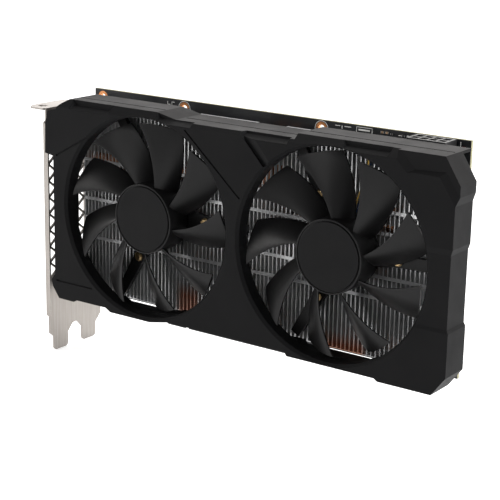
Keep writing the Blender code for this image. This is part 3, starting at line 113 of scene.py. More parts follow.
def addStage(look):
    half = look["floorSize"] / 2
    mesh = bpy.data.meshes.new("floor")
    corners = [(-half, -half, 0), (half, -half, 0), (half, half, 0), (-half, half, 0)]
    mesh.from_pydata(corners, [], [(0, 1, 2, 3)])
    floor = bpy.data.objects.new("floor", mesh)
    bpy.context.scene.collection.objects.link(floor)
    floor.location.z = bracketLow.z - look["floorDrop"]
    paint = bpy.data.materials.new("floor paint")
    paint.use_nodes = True
    shader = paint.node_tree.nodes["Principled BSDF"]
    shader.inputs["Base Color"].default_value = (*look["floorColor"], 1)
    shader.inputs["Roughness"].default_value = look["floorRoughness"]
    shader.inputs["Specular IOR Level"].default_value = 0.0
    shader.inputs["Emission Color"].default_value = (1, 1, 1, 1)
    shader.inputs["Emission Strength"].default_value = look["floorGlow"]
    mesh.materials.append(paint)

    world = bpy.data.worlds.new("studio")
    world.use_nodes = True
    background = world.node_tree.nodes["Background"]
    background.inputs["Color"].default_value = (*look["worldColor"], 1)
    background.inputs["Strength"].default_value = look["worldLight"]
    bpy.context.scene.world = world
    bpy.context.scene.view_settings.view_transform = "Standard"

    for index, (place, aim, size, power, color) in enumerate(look["lights"]):
        data = bpy.data.lights.new(f"soft light {index + 1}", "AREA")
        data.shape = "RECTANGLE"
        data.size, data.size_y = size
        data.energy = power
        data.color = color
        lamp = bpy.data.objects.new(data.name, data)
        bpy.context.scene.collection.objects.link(lamp)
        lamp.location = place
        lamp.rotation_euler = (Vector(aim) - Vector(place)).to_track_quat("-Z", "Y").to_euler()


addCamera(cameraLook)
addStage(stageLook)
print("camera and lights are set")


def addNode(tree, kind, **values):
    node = tree.nodes.new(kind)
    for key, value in values.items():
        if hasattr(node, key):
            setattr(node, key, value)
        else:
            node.inputs[key.replace("_", " ")].default_value = value
    return node


def noiseIn(tree, source, scale, detail=3.0, roughness=0.5):
    noise = addNode(tree, "ShaderNodeTexNoise", Scale=scale, Detail=detail, Roughness=roughness)
    tree.links.new(source, noise.inputs["Vector"])
    return noise.outputs["Fac"]


def spreadOver(tree, source, low, high, toLow=0.0, toHigh=1.0):
    spread = addNode(tree, "ShaderNodeMapRange")
    spread.clamp = True
    for key, value in (("From Min", low), ("From Max", high), ("To Min", toLow), ("To Max", toHigh)):
        spread.inputs[key].default_value = value
    tree.links.new(source, spread.inputs["Value"])
    return spread.outputs["Result"]


def mixColors(tree, share, first, second):
    mix = tree.nodes.new("ShaderNodeMix")
    mix.data_type = "RGBA"
    tree.links.new(share, mix.inputs[0])
    for slot, value in ((6, first), (7, second)):
        if isinstance(value, tuple):
            mix.inputs[slot].default_value = (*value, 1)
        else:
            tree.links.new(value, mix.inputs[slot])
    return mix.outputs[2]


def timesValue(tree, first, second):
    product = addNode(tree, "ShaderNodeMath", operation="MULTIPLY")
    tree.links.new(first, product.inputs[0])
    if isinstance(second, float):
        product.inputs[1].default_value = second
    else:
        tree.links.new(second, product.inputs[1])
    return product.outputs[0]


plainFinish = {
    "metallic": 0.0,
    "specular": 0.5,
    "stretch": (1, 1, 1),
    "patchScale": 45.0,
    "streakShare": 0.6,
    "edge": 0.25,                                  # radius that edges are shaded with
    "wear": 0.5,
    "smearScale": 70.0,
    "bump": 0.3,
    "bumpHeight": 0.03,
}
noiseRules = {                                     # detail and roughness of a noise, limits of a spread
    "patch": (4.0, 0.5), "patchSpread": (0.35, 0.68),
    "streak": (4.0, 0.65), "streakSpread": (0.42, 0.66),
    "wornEdge": (0.97, 0.80),
    "wearScale": 900.0, "wear": (5.0, 0.6), "wearSpread": (0.45, 0.62),
    "smear": (5.0, 0.6), "smearSpread": (0.3, 0.7),
    "grain": (2.0, 0.55),
}


def newFinish(name, ownLook):
    look = {**plainFinish, **ownLook}
    rules = noiseRules
    made = bpy.data.materials.new(name)
    made.use_nodes = True
    tree = made.node_tree
    shader = tree.nodes["Principled BSDF"]
    shader.inputs["Metallic"].default_value = look["metallic"]
    shader.inputs["Specular IOR Level"].default_value = look["specular"]

    where = tree.nodes.new("ShaderNodeTexCoord").outputs["Object"]
    stretched = addNode(tree, "ShaderNodeMapping")
    stretched.inputs["Scale"].default_value = look["stretch"]
    tree.links.new(where, stretched.inputs["Vector"])
    grainPlace = stretched.outputs["Vector"]

    patches = noiseIn(tree, where, look["patchScale"], *rules["patch"])
    patchShare = spreadOver(tree, patches, *rules["patchSpread"])
    color = mixColors(tree, patchShare, look["color"], look["patchColor"])
    if "streakColor" in look:
        streaks = noiseIn(tree, grainPlace, look["grainScale"], *rules["streak"])
        share = timesValue(tree, spreadOver(tree, streaks, *rules["streakSpread"]), look["streakShare"])
        color = mixColors(tree, share, color, look["streakColor"])

    rounded = addNode(tree, "ShaderNodeBevel", samples=4)
    rounded.inputs["Radius"].default_value = look["edge"] * millimetre
    if "wearColor" in look:
        plain = tree.nodes.new("ShaderNodeNewGeometry").outputs["Normal"]
        meeting = addNode(tree, "ShaderNodeVectorMath", operation="DOT_PRODUCT")
        tree.links.new(rounded.outputs["Normal"], meeting.inputs[0])
        tree.links.new(plain, meeting.inputs[1])
        edges = spreadOver(tree, meeting.outputs["Value"], *rules["wornEdge"])
        broken = noiseIn(tree, where, rules["wearScale"], *rules["wear"])
        worn = timesValue(tree, edges, spreadOver(tree, broken, *rules["wearSpread"]))
        color = mixColors(tree, timesValue(tree, worn, look["wear"]), color, look["wearColor"])
    tree.links.new(color, shader.inputs["Base Color"])

    smearPlace = grainPlace if "streakColor" in look else where
    smears = noiseIn(tree, smearPlace, look["smearScale"], *rules["smear"])
    roughness = spreadOver(tree, smears, *rules["smearSpread"], *look["roughness"])
    tree.links.new(roughness, shader.inputs["Roughness"])

    bump = addNode(tree, "ShaderNodeBump")
    bump.inputs["Strength"].default_value = look["bump"]
    bump.inputs["Distance"].default_value = look["bumpHeight"] * millimetre
    grain = noiseIn(tree, grainPlace, look["grainScale"], *rules["grain"])
    tree.links.new(grain, bump.inputs["Height"])
    tree.links.new(rounded.outputs["Normal"], bump.inputs["Normal"])
    tree.links.new(bump.outputs["Normal"], shader.inputs["Normal"])
    return made


finishLooks = {
    "shroud plastic": {
        "color": (0.0038, 0.0038, 0.0042), "patchColor": (0.0050, 0.0049, 0.0052),
        "patchScale": 30.0, "roughness": (0.48, 0.58), "specular": 0.085, "grainScale": 2600.0,
        "bump": 0.35, "bumpHeight": 0.05, "edge": 0.35, "wearColor": (0.05, 0.048, 0.047),
        "wear": 0.25,
    },
    "fan plastic": {
        "color": (0.0044, 0.0043, 0.0045), "patchColor": (0.0056, 0.0054, 0.0056),
        "patchScale": 60.0, "roughness": (0.34, 0.44), "specular": 0.20, "grainScale": 3400.0,
        "bump": 0.2, "bumpHeight": 0.03, "edge": 0.25,
    },
    "hub label": {
        "color": (0.0046, 0.0046, 0.0049), "patchColor": (0.0056, 0.0055, 0.0057),
        "patchScale": 90.0, "roughness": (0.48, 0.58), "specular": 0.10, "grainScale": 4200.0,
        "bump": 0.3, "bumpHeight": 0.02,
    },
    "bracket steel": {
        "color": (0.36, 0.335, 0.31), "patchColor": (0.31, 0.285, 0.265), "patchScale": 35.0,
        "metallic": 1.0, "roughness": (0.30, 0.46), "grainScale": 900.0, "stretch": (1, 1, 0.04),
        "streakColor": (0.44, 0.415, 0.39), "streakShare": 0.5, "bump": 0.12, "bumpHeight": 0.02,
        "edge": 0.2, "wearColor": (0.72, 0.70, 0.68), "wear": 0.6, "smearScale": 40.0,
    },
    "screw steel": {
        "color": (0.48, 0.48, 0.49), "patchColor": (0.40, 0.40, 0.41), "metallic": 1.0,
        "roughness": (0.26, 0.42), "grainScale": 1500.0, "bump": 0.15, "bumpHeight": 0.02,
        "edge": 0.15, "wearColor": (0.7, 0.7, 0.7), "wear": 0.6,
    },
    "fin aluminium": {
        "color": (0.74, 0.745, 0.75), "patchColor": (0.64, 0.645, 0.65), "patchScale": 30.0,
        "metallic": 0.92, "roughness": (0.40, 0.52), "grainScale": 700.0, "stretch": (1, 1, 0.05),
        "streakColor": (0.84, 0.84, 0.85), "streakShare": 0.5, "bump": 0.06, "bumpHeight": 0.02,
        "edge": 0.05, "smearScale": 60.0,
    },
    "pipe copper": {
        "color": (0.68, 0.31, 0.165), "patchColor": (0.50, 0.20, 0.095), "patchScale": 120.0,
        "metallic": 1.0, "roughness": (0.22, 0.38), "grainScale": 1200.0, "bump": 0.1,
        "bumpHeight": 0.02, "edge": 0.2,
    },
    "winding": {
        "color": (0.50, 0.20, 0.07), "patchColor": (0.36, 0.13, 0.04), "metallic": 1.0,
        "roughness": (0.35, 0.5), "grainScale": 2200.0, "stretch": (1, 1, 0.1), "bump": 0.6,
        "bumpHeight": 0.1, "edge": 0.2,
    },
    "bearing bronze": {
        "color": (0.42, 0.27, 0.12), "patchColor": (0.32, 0.20, 0.09), "metallic": 1.0,
        "roughness": (0.4, 0.55), "grainScale": 3000.0, "bump": 0.3, "edge": 0.1,
    },
    "screw brass": {
        "color": (0.60, 0.43, 0.22), "patchColor": (0.48, 0.33, 0.16), "metallic": 1.0,
        "roughness": (0.25, 0.4), "grainScale": 1500.0, "bump": 0.15, "bumpHeight": 0.02,
        "edge": 0.15, "wearColor": (0.75, 0.62, 0.42), "wear": 0.7,
    },
    "magnet ferrite": {
        "color": (0.05, 0.046, 0.045), "patchColor": (0.035, 0.033, 0.033), "metallic": 0.4,
        "roughness": (0.5, 0.7), "grainScale": 2500.0, "bump": 0.5, "edge": 0.1,
    },
    "socket plastic": {
        "color": (0.011, 0.011, 0.012), "patchColor": (0.015, 0.015, 0.016),
        "roughness": (0.34, 0.46), "grainScale": 2600.0, "bump": 0.25, "bumpHeight": 0.03,
        "edge": 0.15, "wearColor": (0.09, 0.09, 0.09), "wear": 0.35,
    },
    "nylon": {
        "color": (0.74, 0.70, 0.60), "patchColor": (0.66, 0.62, 0.52), "roughness": (0.38, 0.5),
        "grainScale": 2000.0, "bump": 0.2, "edge": 0.15,
    },
    "chip carrier": {
        "color": (0.018, 0.075, 0.035), "patchColor": (0.012, 0.055, 0.027),
        "roughness": (0.35, 0.5), "grainScale": 3000.0, "bump": 0.2, "edge": 0.1,
    },
    "chip mould": {
        "color": (0.016, 0.016, 0.018), "patchColor": (0.022, 0.021, 0.022),
        "roughness": (0.5, 0.65), "grainScale": 4000.0, "bump": 0.35, "bumpHeight": 0.03,
        "edge": 0.12,
    },
    "silicon": {
        "color": (0.25, 0.26, 0.29), "patchColor": (0.21, 0.22, 0.25), "metallic": 1.0,
        "roughness": (0.1, 0.2), "grainScale": 800.0, "bump": 0.03, "edge": 0.05,
    },
    "tin": {
        "color": (0.62, 0.62, 0.61), "patchColor": (0.54, 0.54, 0.53), "metallic": 1.0,
        "roughness": (0.22, 0.38), "grainScale": 1600.0, "bump": 0.1, "bumpHeight": 0.02,
        "edge": 0.15, "wearColor": (0.8, 0.8, 0.79), "wear": 0.5,
    },
    "gold plate": {
        "color": (0.82, 0.56, 0.18), "patchColor": (0.72, 0.47, 0.14), "metallic": 1.0,
        "roughness": (0.2, 0.34), "grainScale": 2400.0, "bump": 0.08, "bumpHeight": 0.01,
        "edge": 0.02,
    },
    "ring copper": {
        "color": (0.90, 0.40, 0.17), "patchColor": (0.78, 0.32, 0.12), "patchScale": 300.0,
        "metallic": 1.0, "roughness": (0.25, 0.4), "grainScale": 2400.0, "bump": 0.15,
        "edge": 0.05,
    },
    "white ink": {
        "color": (0.72, 0.72, 0.70), "patchColor": (0.62, 0.62, 0.60), "patchScale": 400.0,
        "roughness": (0.55, 0.7), "grainScale": 5000.0, "bump": 0.3, "bumpHeight": 0.01,
        "edge": 0.01,
    },
    "ceramic tan": {
        "color": (0.34, 0.22, 0.13), "patchColor": (0.28, 0.18, 0.10), "patchScale": 300.0,
        "roughness": (0.4, 0.55), "grainScale": 5000.0, "bump": 0.2, "edge": 0.08,
    },
    "red film": {
        "color": (0.42, 0.035, 0.02), "patchColor": (0.34, 0.03, 0.02), "patchScale": 300.0,
        "roughness": (0.3, 0.45), "grainScale": 3000.0, "bump": 0.2, "edge": 0.15,
    },
    "solder": {
        "color": (0.58, 0.59, 0.60), "patchColor": (0.46, 0.47, 0.49), "patchScale": 500.0,
        "metallic": 1.0, "roughness": (0.2, 0.4), "grainScale": 2600.0, "bump": 0.3, "edge": 0.05,
    },
    "laminate": {
        "color": (0.42, 0.40, 0.24), "patchColor": (0.36, 0.33, 0.19), "patchScale": 900.0,
        "roughness": (0.6, 0.75), "grainScale": 4000.0, "bump": 0.4, "edge": 0.02,
    },
}
sleeveColors = {
    "blue sleeve": ((0.02, 0.09, 0.30), (0.015, 0.07, 0.25)),
    "green sleeve": ((0.02, 0.22, 0.07), (0.015, 0.17, 0.05)),
    "yellow sleeve": ((0.62, 0.38, 0.04), (0.52, 0.31, 0.03)),
    "black sleeve": ((0.012, 0.012, 0.013), (0.016, 0.016, 0.017)),
}
for name, (color, patchColor) in sleeveColors.items():
    finishLooks[name] = {"color": color, "patchColor": patchColor, "roughness": (0.35, 0.5),
                         "grainScale": 3000.0, "bump": 0.15, "edge": 0.02}
finishes = {name: newFinish(name, look) for name, look in finishLooks.items()}

# painted reflection: copper colour painted onto the fins where the copper pipes run close behind them
copperReflectionLook = {
    "color": (0.66, 0.27, 0.13),
    "fadeSides": 3.0,
    "fadeBelow": 1.0,
    "fadeAbove": 6.0,
    "spots": (                                     # x from, to, z from, to, share of the colour
        (147.0, 170.0, 28.0, 38.5, 0.8),
        (66.0, 80.0, 29.0, 44.5, 0.7),
    ),
}


def paintCopperReflection(tree, look):
    # painted reflection: the fins' base colour is tinted copper where the copper pipes run close behind their
    # front edges, standing in for the light the pipes reflect onto the fins
    shader = tree.nodes["Principled BSDF"]
    color = shader.inputs["Base Color"].links[0].from_socket
    where = tree.nodes.new("ShaderNodeSeparateXYZ")
    tree.links.new(tree.nodes.new("ShaderNodeTexCoord").outputs["Object"], where.inputs[0])
    sides, below, above = (look[key] * millimetre for key in ("fadeSides", "fadeBelow", "fadeAbove"))
    for x0, x1, z0, z1, share in look["spots"]:
        left, right, low, high = (cardZero.x + x0 * millimetre, cardZero.x + x1 * millimetre,
                                  cardZero.z + z0 * millimetre, cardZero.z + z1 * millimetre)
        window = timesValue(tree, spreadOver(tree, where.outputs["X"], left, left + sides),
                            spreadOver(tree, where.outputs["X"], right, right - sides))
        window = timesValue(tree, window, spreadOver(tree, where.outputs["Z"], low, low + below))
        window = timesValue(tree, window, spreadOver(tree, where.outputs["Z"], high, high - above))
        color = mixColors(tree, timesValue(tree, window, share), color, look["color"])
    tree.links.new(color, shader.inputs["Base Color"])


paintCopperReflection(finishes["fin aluminium"].node_tree, copperReflectionLook)


boardLook = {
    "mask": (0.0075, 0.0082, 0.0095),
    "maskOverCopper": (0.0125, 0.0135, 0.0155),
    "blockScale": 55.0,                            # cells of parallel tracks, per metre
    "filledCells": (0.35, 0.37),                   # share of the cells that are left without tracks
    "trackScale": 620.0,
    "trackEdge": (0.55, 0.75),
    "trackHeight": 0.04,
    "trackBump": 0.5,
    "turnedCells": 0.5,                            # share of the cells whose tracks run the other way
    "specular": 0.45,
    "smearScale": 90.0,
    "smearDetail": 5.0,
    "smearSpread": (0.3, 0.7),
    "roughness": (0.30, 0.42),
}


def boardFinish(look):
    made = bpy.data.materials.new("solder mask")
    made.use_nodes = True
    tree = made.node_tree
    shader = tree.nodes["Principled BSDF"]
    shader.inputs["Specular IOR Level"].default_value = look["specular"]
    where = tree.nodes.new("ShaderNodeTexCoord").outputs["Object"]
    cells = addNode(tree, "ShaderNodeTexVoronoi", distance="CHEBYCHEV", Scale=look["blockScale"])
    tree.links.new(where, cells.inputs["Vector"])
    picked = addNode(tree, "ShaderNodeSeparateColor")
    tree.links.new(cells.outputs["Color"], picked.inputs[0])
    waves = []
    for direction in ("X", "Z"):
        wave = addNode(tree, "ShaderNodeTexWave", bands_direction=direction, Scale=look["trackScale"])
        tree.links.new(where, wave.inputs["Vector"])
        waves.append(spreadOver(tree, wave.outputs["Fac"], *look["trackEdge"]))
    turned = addNode(tree, "ShaderNodeMath", operation="GREATER_THAN")
    turned.inputs[1].default_value = look["turnedCells"]
    tree.links.new(picked.outputs["Red"], turned.inputs[0])
    either = tree.nodes.new("ShaderNodeMix")
    tree.links.new(turned.outputs[0], either.inputs[0])
    tree.links.new(waves[0], either.inputs[2])
    tree.links.new(waves[1], either.inputs[3])
    filled = spreadOver(tree, picked.outputs["Green"], *look["filledCells"])
    tracks = timesValue(tree, either.outputs[0], filled)
    tree.links.new(mixColors(tree, tracks, look["mask"], look["maskOverCopper"]), shader.inputs["Base Color"])
    smears = noiseIn(tree, where, look["smearScale"], look["smearDetail"])
    roughness = spreadOver(tree, smears, *look["smearSpread"], *look["roughness"])
    tree.links.new(roughness, shader.inputs["Roughness"])
    bump = addNode(tree, "ShaderNodeBump")
    bump.inputs["Strength"].default_value = look["trackBump"]
    bump.inputs["Distance"].default_value = look["trackHeight"] * millimetre
    tree.links.new(tracks, bump.inputs["Height"])
    tree.links.new(bump.outputs["Normal"], shader.inputs["Normal"])
    return made


finishes["solder mask"] = boardFinish(boardLook)

slotFinish = {
    "board": "solder mask", "bracket_steel": "bracket steel", "shroud_plastic": "shroud plastic",
    "fan_plastic": "fan plastic", "fin_metal": "fin aluminium", "copper": "pipe copper", "winding": "winding",
    "bronze": "bearing bronze", "brass": "screw brass", "steel": "screw steel", "magnet": "magnet ferrite",
    "label": "hub label", "socket_plastic": "socket plastic", "header_plastic": "nylon",
    "chip_carrier": "chip carrier", "chip": "chip mould", "die": "silicon", "port_shell": "tin",
    "lead": "black sleeve",
}
for part in frame["record"]["subparts"]:
    node = nodes[part["node"]]
    node.data.materials.clear()
    node.data.materials.append(finishes[slotFinish[part["material_slot"]]])
print("the CAD nodes have their finishes")


def addBox(shape, low, high):
    corners = [shape.verts.new((x, y, z))
               for x in (low[0], high[0]) for y in (low[1], high[1]) for z in (low[2], high[2])]
    for face in ((0, 1, 3, 2), (4, 6, 7, 5), (0, 4, 5, 1), (2, 3, 7, 6), (0, 2, 6, 4), (1, 5, 7, 3)):
        shape.faces.new([corners[i] for i in face])


def addTurned(shape, centre, profile, sides):
    rings = []
    for radius, along in profile:
        if radius == 0:
            rings.append([shape.verts.new((centre[0], along, centre[1]))] * sides)
            continue
        turns = [2 * math.pi * i / sides for i in range(sides)]
        rings.append([shape.verts.new((centre[0] + radius * math.cos(turn), along,
                                       centre[1] + radius * math.sin(turn))) for turn in turns])
    for k in range(len(profile)):
        this, following = rings[k], rings[(k + 1) % len(profile)]
        if profile[k][0] == 0 and profile[(k + 1) % len(profile)][0] == 0:
            continue
        for i in range(sides):
            corners = []
            for corner in (this[i], this[(i + 1) % sides], following[(i + 1) % sides], following[i]):
                if corner not in corners:
                    corners.append(corner)
            shape.faces.new(corners)


def addTube(shape, route, radius, sides=8):
    path = [Vector(point) for point in route]
    rings, side = [], None
    for i, here in enumerate(path):
        ahead = (path[min(i + 1, len(path) - 1)] - path[max(i - 1, 0)]).normalized()
        if side is None:
            side = ahead.orthogonal().normalized()
        side = (side - ahead * side.dot(ahead)).normalized()
        other = ahead.cross(side)
        rings.append([shape.verts.new(here + radius * (math.cos(2 * math.pi * k / sides) * side
                                                       + math.sin(2 * math.pi * k / sides) * other))
                      for k in range(sides)])
    for first, second in zip(rings, rings[1:]):
        for k in range(sides):
            shape.faces.new((first[k], first[(k + 1) % sides], second[(k + 1) % sides], second[k]))
    shape.faces.new(rings[0])
    shape.faces.new(rings[-1])


def makePiece(name, shape, finish, body="card", smooth=None, bevel=None):
    bmesh.ops.recalc_face_normals(shape, faces=shape.faces)
    bmesh.ops.scale(shape, vec=(millimetre,) * 3, verts=shape.verts)
    bmesh.ops.translate(shape, vec=cardZero, verts=shape.verts)
    mesh = bpy.data.meshes.new(name)
    shape.to_mesh(mesh)
    shape.free()
    if smooth:
        mesh.shade_smooth()
        mesh.set_sharp_from_angle(angle=math.radians(smooth))
    mesh.materials.append(finishes[finish])
    piece = bpy.data.objects.new(name, mesh)
    bpy.context.scene.collection.objects.link(piece)
    if bevel:
        softened = piece.modifiers.new("rounded edges", "BEVEL")
        softened.width = bevel * millimetre
        softened.segments = 2
        softened.limit_method = "ANGLE"
    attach(piece, body)
    return piece


fanLook = {
    "blades": 9,
    "phase": {"left": 14.0, "right": -5.5},        # turn of the first blade, degrees
    "span": 24.0,                                  # degrees from edge to edge, at the tip
    "rootSpan": 0.92,                              # share of the span at the root
    "sweep": 25.0,
    "sweepCurve": 0.85,
    "front": -33.6,
    "rootSetBack": 0.6,
    "rear": -23.9,
    "tipSetForward": 1.2,
    "camberCurve": 1.35,
    "tip": 43.6,
    "thick": 1.3,
    "edgeThick": 0.35,                             # share of the thickness that never goes
    "edgeTurn": 0.12,
    "stations": 18,
    "chordPoints": 16,
    "hubRadius": 16.2,
    "hubFront": -35.2,
    "hubRear": -22.9,
    "rim": (                                       # from the hub's radius and its front
        (-1.05, 0.7), (-0.8, 0.6), (-0.68, 0.1), (-0.55, 0.0), (-0.45, 0.0), (-0.12, 0.14), (0.0, 0.5),
    ),
    "wall": 1.5,
    "sides": 96,
}


def addBlades(shape, look, middle, phase):
    root = look["hubRadius"] - look["wall"] / 2
    lastStation, lastPoint = look["stations"] - 1, look["chordPoints"] - 1
    for blade in range(look["blades"]):
        turn = phase + 360.0 * blade / look["blades"]
        front, back = [], []
        for station in range(look["stations"]):
            share = station / lastStation
            radius = root + (look["tip"] - root) * share
            lead = look["sweep"] * (share ** look["sweepCurve"] - 1)
            trail = lead - look["span"] * (look["rootSpan"] + (1 - look["rootSpan"]) * share)
            near = look["front"] + look["rootSetBack"] * (1 - share)
            deep = look["rear"] - look["tipSetForward"] * share
            frontRow, backRow = [], []
            for step in range(look["chordPoints"]):
                part = step / lastPoint
                angle = math.radians(turn + lead + (trail - lead) * part)
                camber = near + (deep - near) * part ** look["camberCurve"]
                bulge = math.sin(math.pi * (look["edgeTurn"] + (1 - 2 * look["edgeTurn"]) * part))
                thick = look["thick"] * (look["edgeThick"] + (1 - look["edgeThick"]) * bulge)
                x, z = middle[0] + radius * math.cos(angle), middle[1] + radius * math.sin(angle)
                frontRow.append(shape.verts.new((x, camber - thick / 2, z)))
                backRow.append(shape.verts.new((x, camber + thick / 2, z)))
            front.append(frontRow)
            back.append(backRow)
        for s in range(lastStation):
            for c in range(lastPoint):
                shape.faces.new((front[s][c], front[s][c + 1], front[s + 1][c + 1], front[s + 1][c]))
                shape.faces.new((back[s][c], back[s + 1][c], back[s + 1][c + 1], back[s][c + 1]))
            for c in (0, lastPoint):
                shape.faces.new((front[s][c], front[s + 1][c], back[s + 1][c], back[s][c]))
        for s in (0, lastStation):
            for c in range(lastPoint):
                shape.faces.new((front[s][c], front[s][c + 1], back[s][c + 1], back[s][c]))


def fanAxis(side):
    joint = next(j for j in frame["joints"] if j["name"] == f"fan_{side}_spin")
    return (Vector(joint["pos_m"]) - cardZero) / millimetre


def makeRotor(side, look):
    axis = fanAxis(side)
    middle = (axis.x, axis.z)
    radius, inside = look["hubRadius"], look["hubRadius"] - look["wall"]
    rim = [(radius + outward, look["hubFront"] + back) for outward, back in look["rim"]]
    face = rim[0][1]
    rear = [(radius, look["hubRear"]), (inside, look["hubRear"]),
            (inside, face + look["wall"]), (0, face + look["wall"])]
    shape = bmesh.new()
    addTurned(shape, middle, [(0, face)] + rim + rear, look["sides"])
    addBlades(shape, look, middle, look["phase"][side])
    rotor = makePiece(f"{side}Rotor", shape, "fan plastic", f"fan_{side}", smooth=38)
    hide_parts(f"fan_{side}_rotor")


for side in ("left", "right"):
    makeRotor(side, fanLook)
print("the fans are made")


finLook = {
    "pitch": 2.15,
    "thick": 0.38,
    "lip": 0.35,                                   # folded edges along the top and the bottom
    "lipGap": 0.16,
    "lipLeast": 1.0,                               # a shorter lip is left out
    "frontFold": 0.52,                             # width of the fold along each fin's front edge
    "foldThick": 0.22,
    "foldTop": 117.0,                              # folds near a lead's notch stop here
    "notches": ((65.3, 68.5), (166.9, 170.1)),     # x of the notches that the leads lie in
    "rows": (57.0, 66.5, 76.0, 85.5, 95.0),        # heights of the interlocking tabs
    "tabHeight": 1.5,
    "tabThick": 0.4,
    # no fin metal here: x from, to, y from, to, z from, to, with 200 and 300 past the card
    "rooms": (
        (82.0, 136.0, -9.4, 0.0, 43.0, 107.0),     # base plate
        (100.9, 117.1, -9.4, 0.0, 0.0, 200.0),     # pipe legs
        (0.0, 83.0, -9.4, -3.6, 54.6, 60.8), (0.0, 83.0, -9.4, -3.6, 73.3, 79.5),
        (65.0, 109.0, -9.4, -3.6, 32.5, 38.7), (109.0, 300.0, -9.4, -3.6, 32.5, 38.7),
        (109.0, 300.0, -9.4, -3.6, 64.5, 70.7), (109.0, 300.0, -9.4, -3.6, 83.7, 89.9),
        (181.1, 300.0, -9.4, 0.0, 0.0, 200.0),     # tall parts on the board
        (179.0, 201.0, -13.35, 0.0, 112.8, 200.0),  # power socket
        (0.0, 104.0, -16.2, -10.6, 93.4, 99.6), (114.0, 184.0, -16.2, -10.6, 93.4, 99.6),
        (92.9, 125.1, -16.2, -10.6, 93.4, 107.6), (100.9, 117.1, -16.2, -10.6, 104.5, 200.0),
        (100.9, 117.1, -16.2, 0.0, 115.9, 200.0),
        (173.5, 179.5, -20.0, -9.4, 84.9, 89.6),   # pipe ends show here
        (176.0, 183.0, -20.0, -16.2, 94.6, 98.4),
        (65.3, 68.5, -20.0, 0.0, 121.25, 200.0), (166.9, 170.1, -20.0, 0.0, 121.25, 200.0),
        (65.3, 68.5, -20.0, -14.8, 117.1, 200.0), (166.9, 170.1, -20.0, -14.8, 117.1, 200.0),
    ),
}


def addSheet(shape, x, thick, low, high, rooms):
    ys = sorted({low[0], high[0]} | {v for r in rooms for v in r[:2] if low[0] < v < high[0]})
    zs = sorted({low[1], high[1]} | {v for r in rooms for v in r[2:] if low[1] < v < high[1]})
    kept = set()
    for i in range(len(ys) - 1):
        for j in range(len(zs) - 1):
            y, z = (ys[i] + ys[i + 1]) / 2, (zs[j] + zs[j + 1]) / 2
            if not any(r[0] < y < r[1] and r[2] < z < r[3] for r in rooms):
                kept.add((i, j))
    points = {}

    def corner(i, j, far):
        if (i, j, far) not in points:
            points[i, j, far] = shape.verts.new((x + far * thick, ys[i], zs[j]))
        return points[i, j, far]

    for i, j in sorted(kept):
        for far in (0, 1):
            shape.faces.new([corner(a, b, far) for a, b in ((i, j), (i + 1, j), (i + 1, j + 1), (i, j + 1))])
        for neighbour, a, b in (((i - 1, j), (i, j), (i, j + 1)), ((i + 1, j), (i + 1, j), (i + 1, j + 1)),
                                ((i, j - 1), (i, j), (i + 1, j)), ((i, j + 1), (i, j + 1), (i + 1, j + 1))):
            if neighbour not in kept:
                shape.faces.new((corner(*a, 0), corner(*b, 0), corner(*b, 1), corner(*a, 1)))


def makeFins(look):
    low, high = cardBox("fin_stack")
    count = int((high.x - low.x - look["thick"]) / look["pitch"])
    pitch = (high.x - low.x - look["thick"]) / count
    shape = bmesh.new()
    for index in range(count + 1):
        x = low.x + index * pitch
        middle = x + look["thick"] / 2
        rooms = [r[2:] for r in look["rooms"] if r[0] < middle < r[1]]
        addSheet(shape, x, look["thick"], (low.y, low.z), (high.y, high.z), rooms)
        if index == count:
            break
        left, right = x + look["thick"], x + pitch - look["lipGap"]
        besideNotch = any(a - look["pitch"] < x < b for a, b in look["notches"])
        foldTop = look["foldTop"] if besideNotch else high.z - look["lip"] - look["lipGap"]
        addBox(shape, (left, low.y, low.z + look["lip"] + look["lipGap"]),
               (x + look["frontFold"], low.y + look["foldThick"], foldTop))
        for edge, start in ((low.z, low.z), (high.z, high.z - look["lip"])):
            blocked = [r[0] for r in rooms if any(r[2] < edge + step < r[3] for step in (-hair, hair))]
            rear = min([high.y] + blocked)
            if rear - low.y > look["lipLeast"]:
                addBox(shape, (left, low.y, start), (right, rear, start + look["lip"]))
        for row in look["rows"]:
            addBox(shape, (left, low.y, row),
                   (right + look["lipGap"] / 2, low.y + look["tabThick"], row + look["tabHeight"]))
    fins = makePiece("finPack", shape, "fin aluminium")
    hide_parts("fin_stack")


makeFins(finLook)
print("the fin stack is made")


leadLook = {
    "offset": {"left": 6.6, "right": 8.4},
    "front": -18.5,
    "rise": ((0.0, 9.0), (2.4, 17.0), (4.6, 25.0)),  # x and z from the fan's axis
    "joinShort": 0.6,                              # x left before the straight run over the fins
    "joinHeight": 34.0,
    "joinBelow": 1.5,
    "stepsPerPoint": 6,
    "stepsPerBend": 8,
    "belowFins": 0.45,
    "bend": 3.2,
    "seat": -2.2,
    "seatDepth": 2.6,                              # end of the lead under the start of its last bend
    "wireRadius": 0.34,
    "spread": 0.42,
    "colors": ("blue sleeve", "green sleeve", "yellow sleeve", "black sleeve"),
}


def smoothRoute(points, steps):
    path = [Vector(point) for point in points]
    ends = [path[0] * 2 - path[1]] + path + [path[-1] * 2 - path[-2]]
    smooth = []
    for i in range(1, len(ends) - 2):
        a, b, c, d = ends[i - 1:i + 3]
        for k in range(steps):
            t = k / steps
            smooth.append(0.5 * (2 * b + (c - a) * t + (2 * a - 5 * b + 4 * c - d) * t ** 2
                                 + (3 * b - a - 3 * c + d) * t ** 3))
    smooth.append(path[-1])
    return smooth


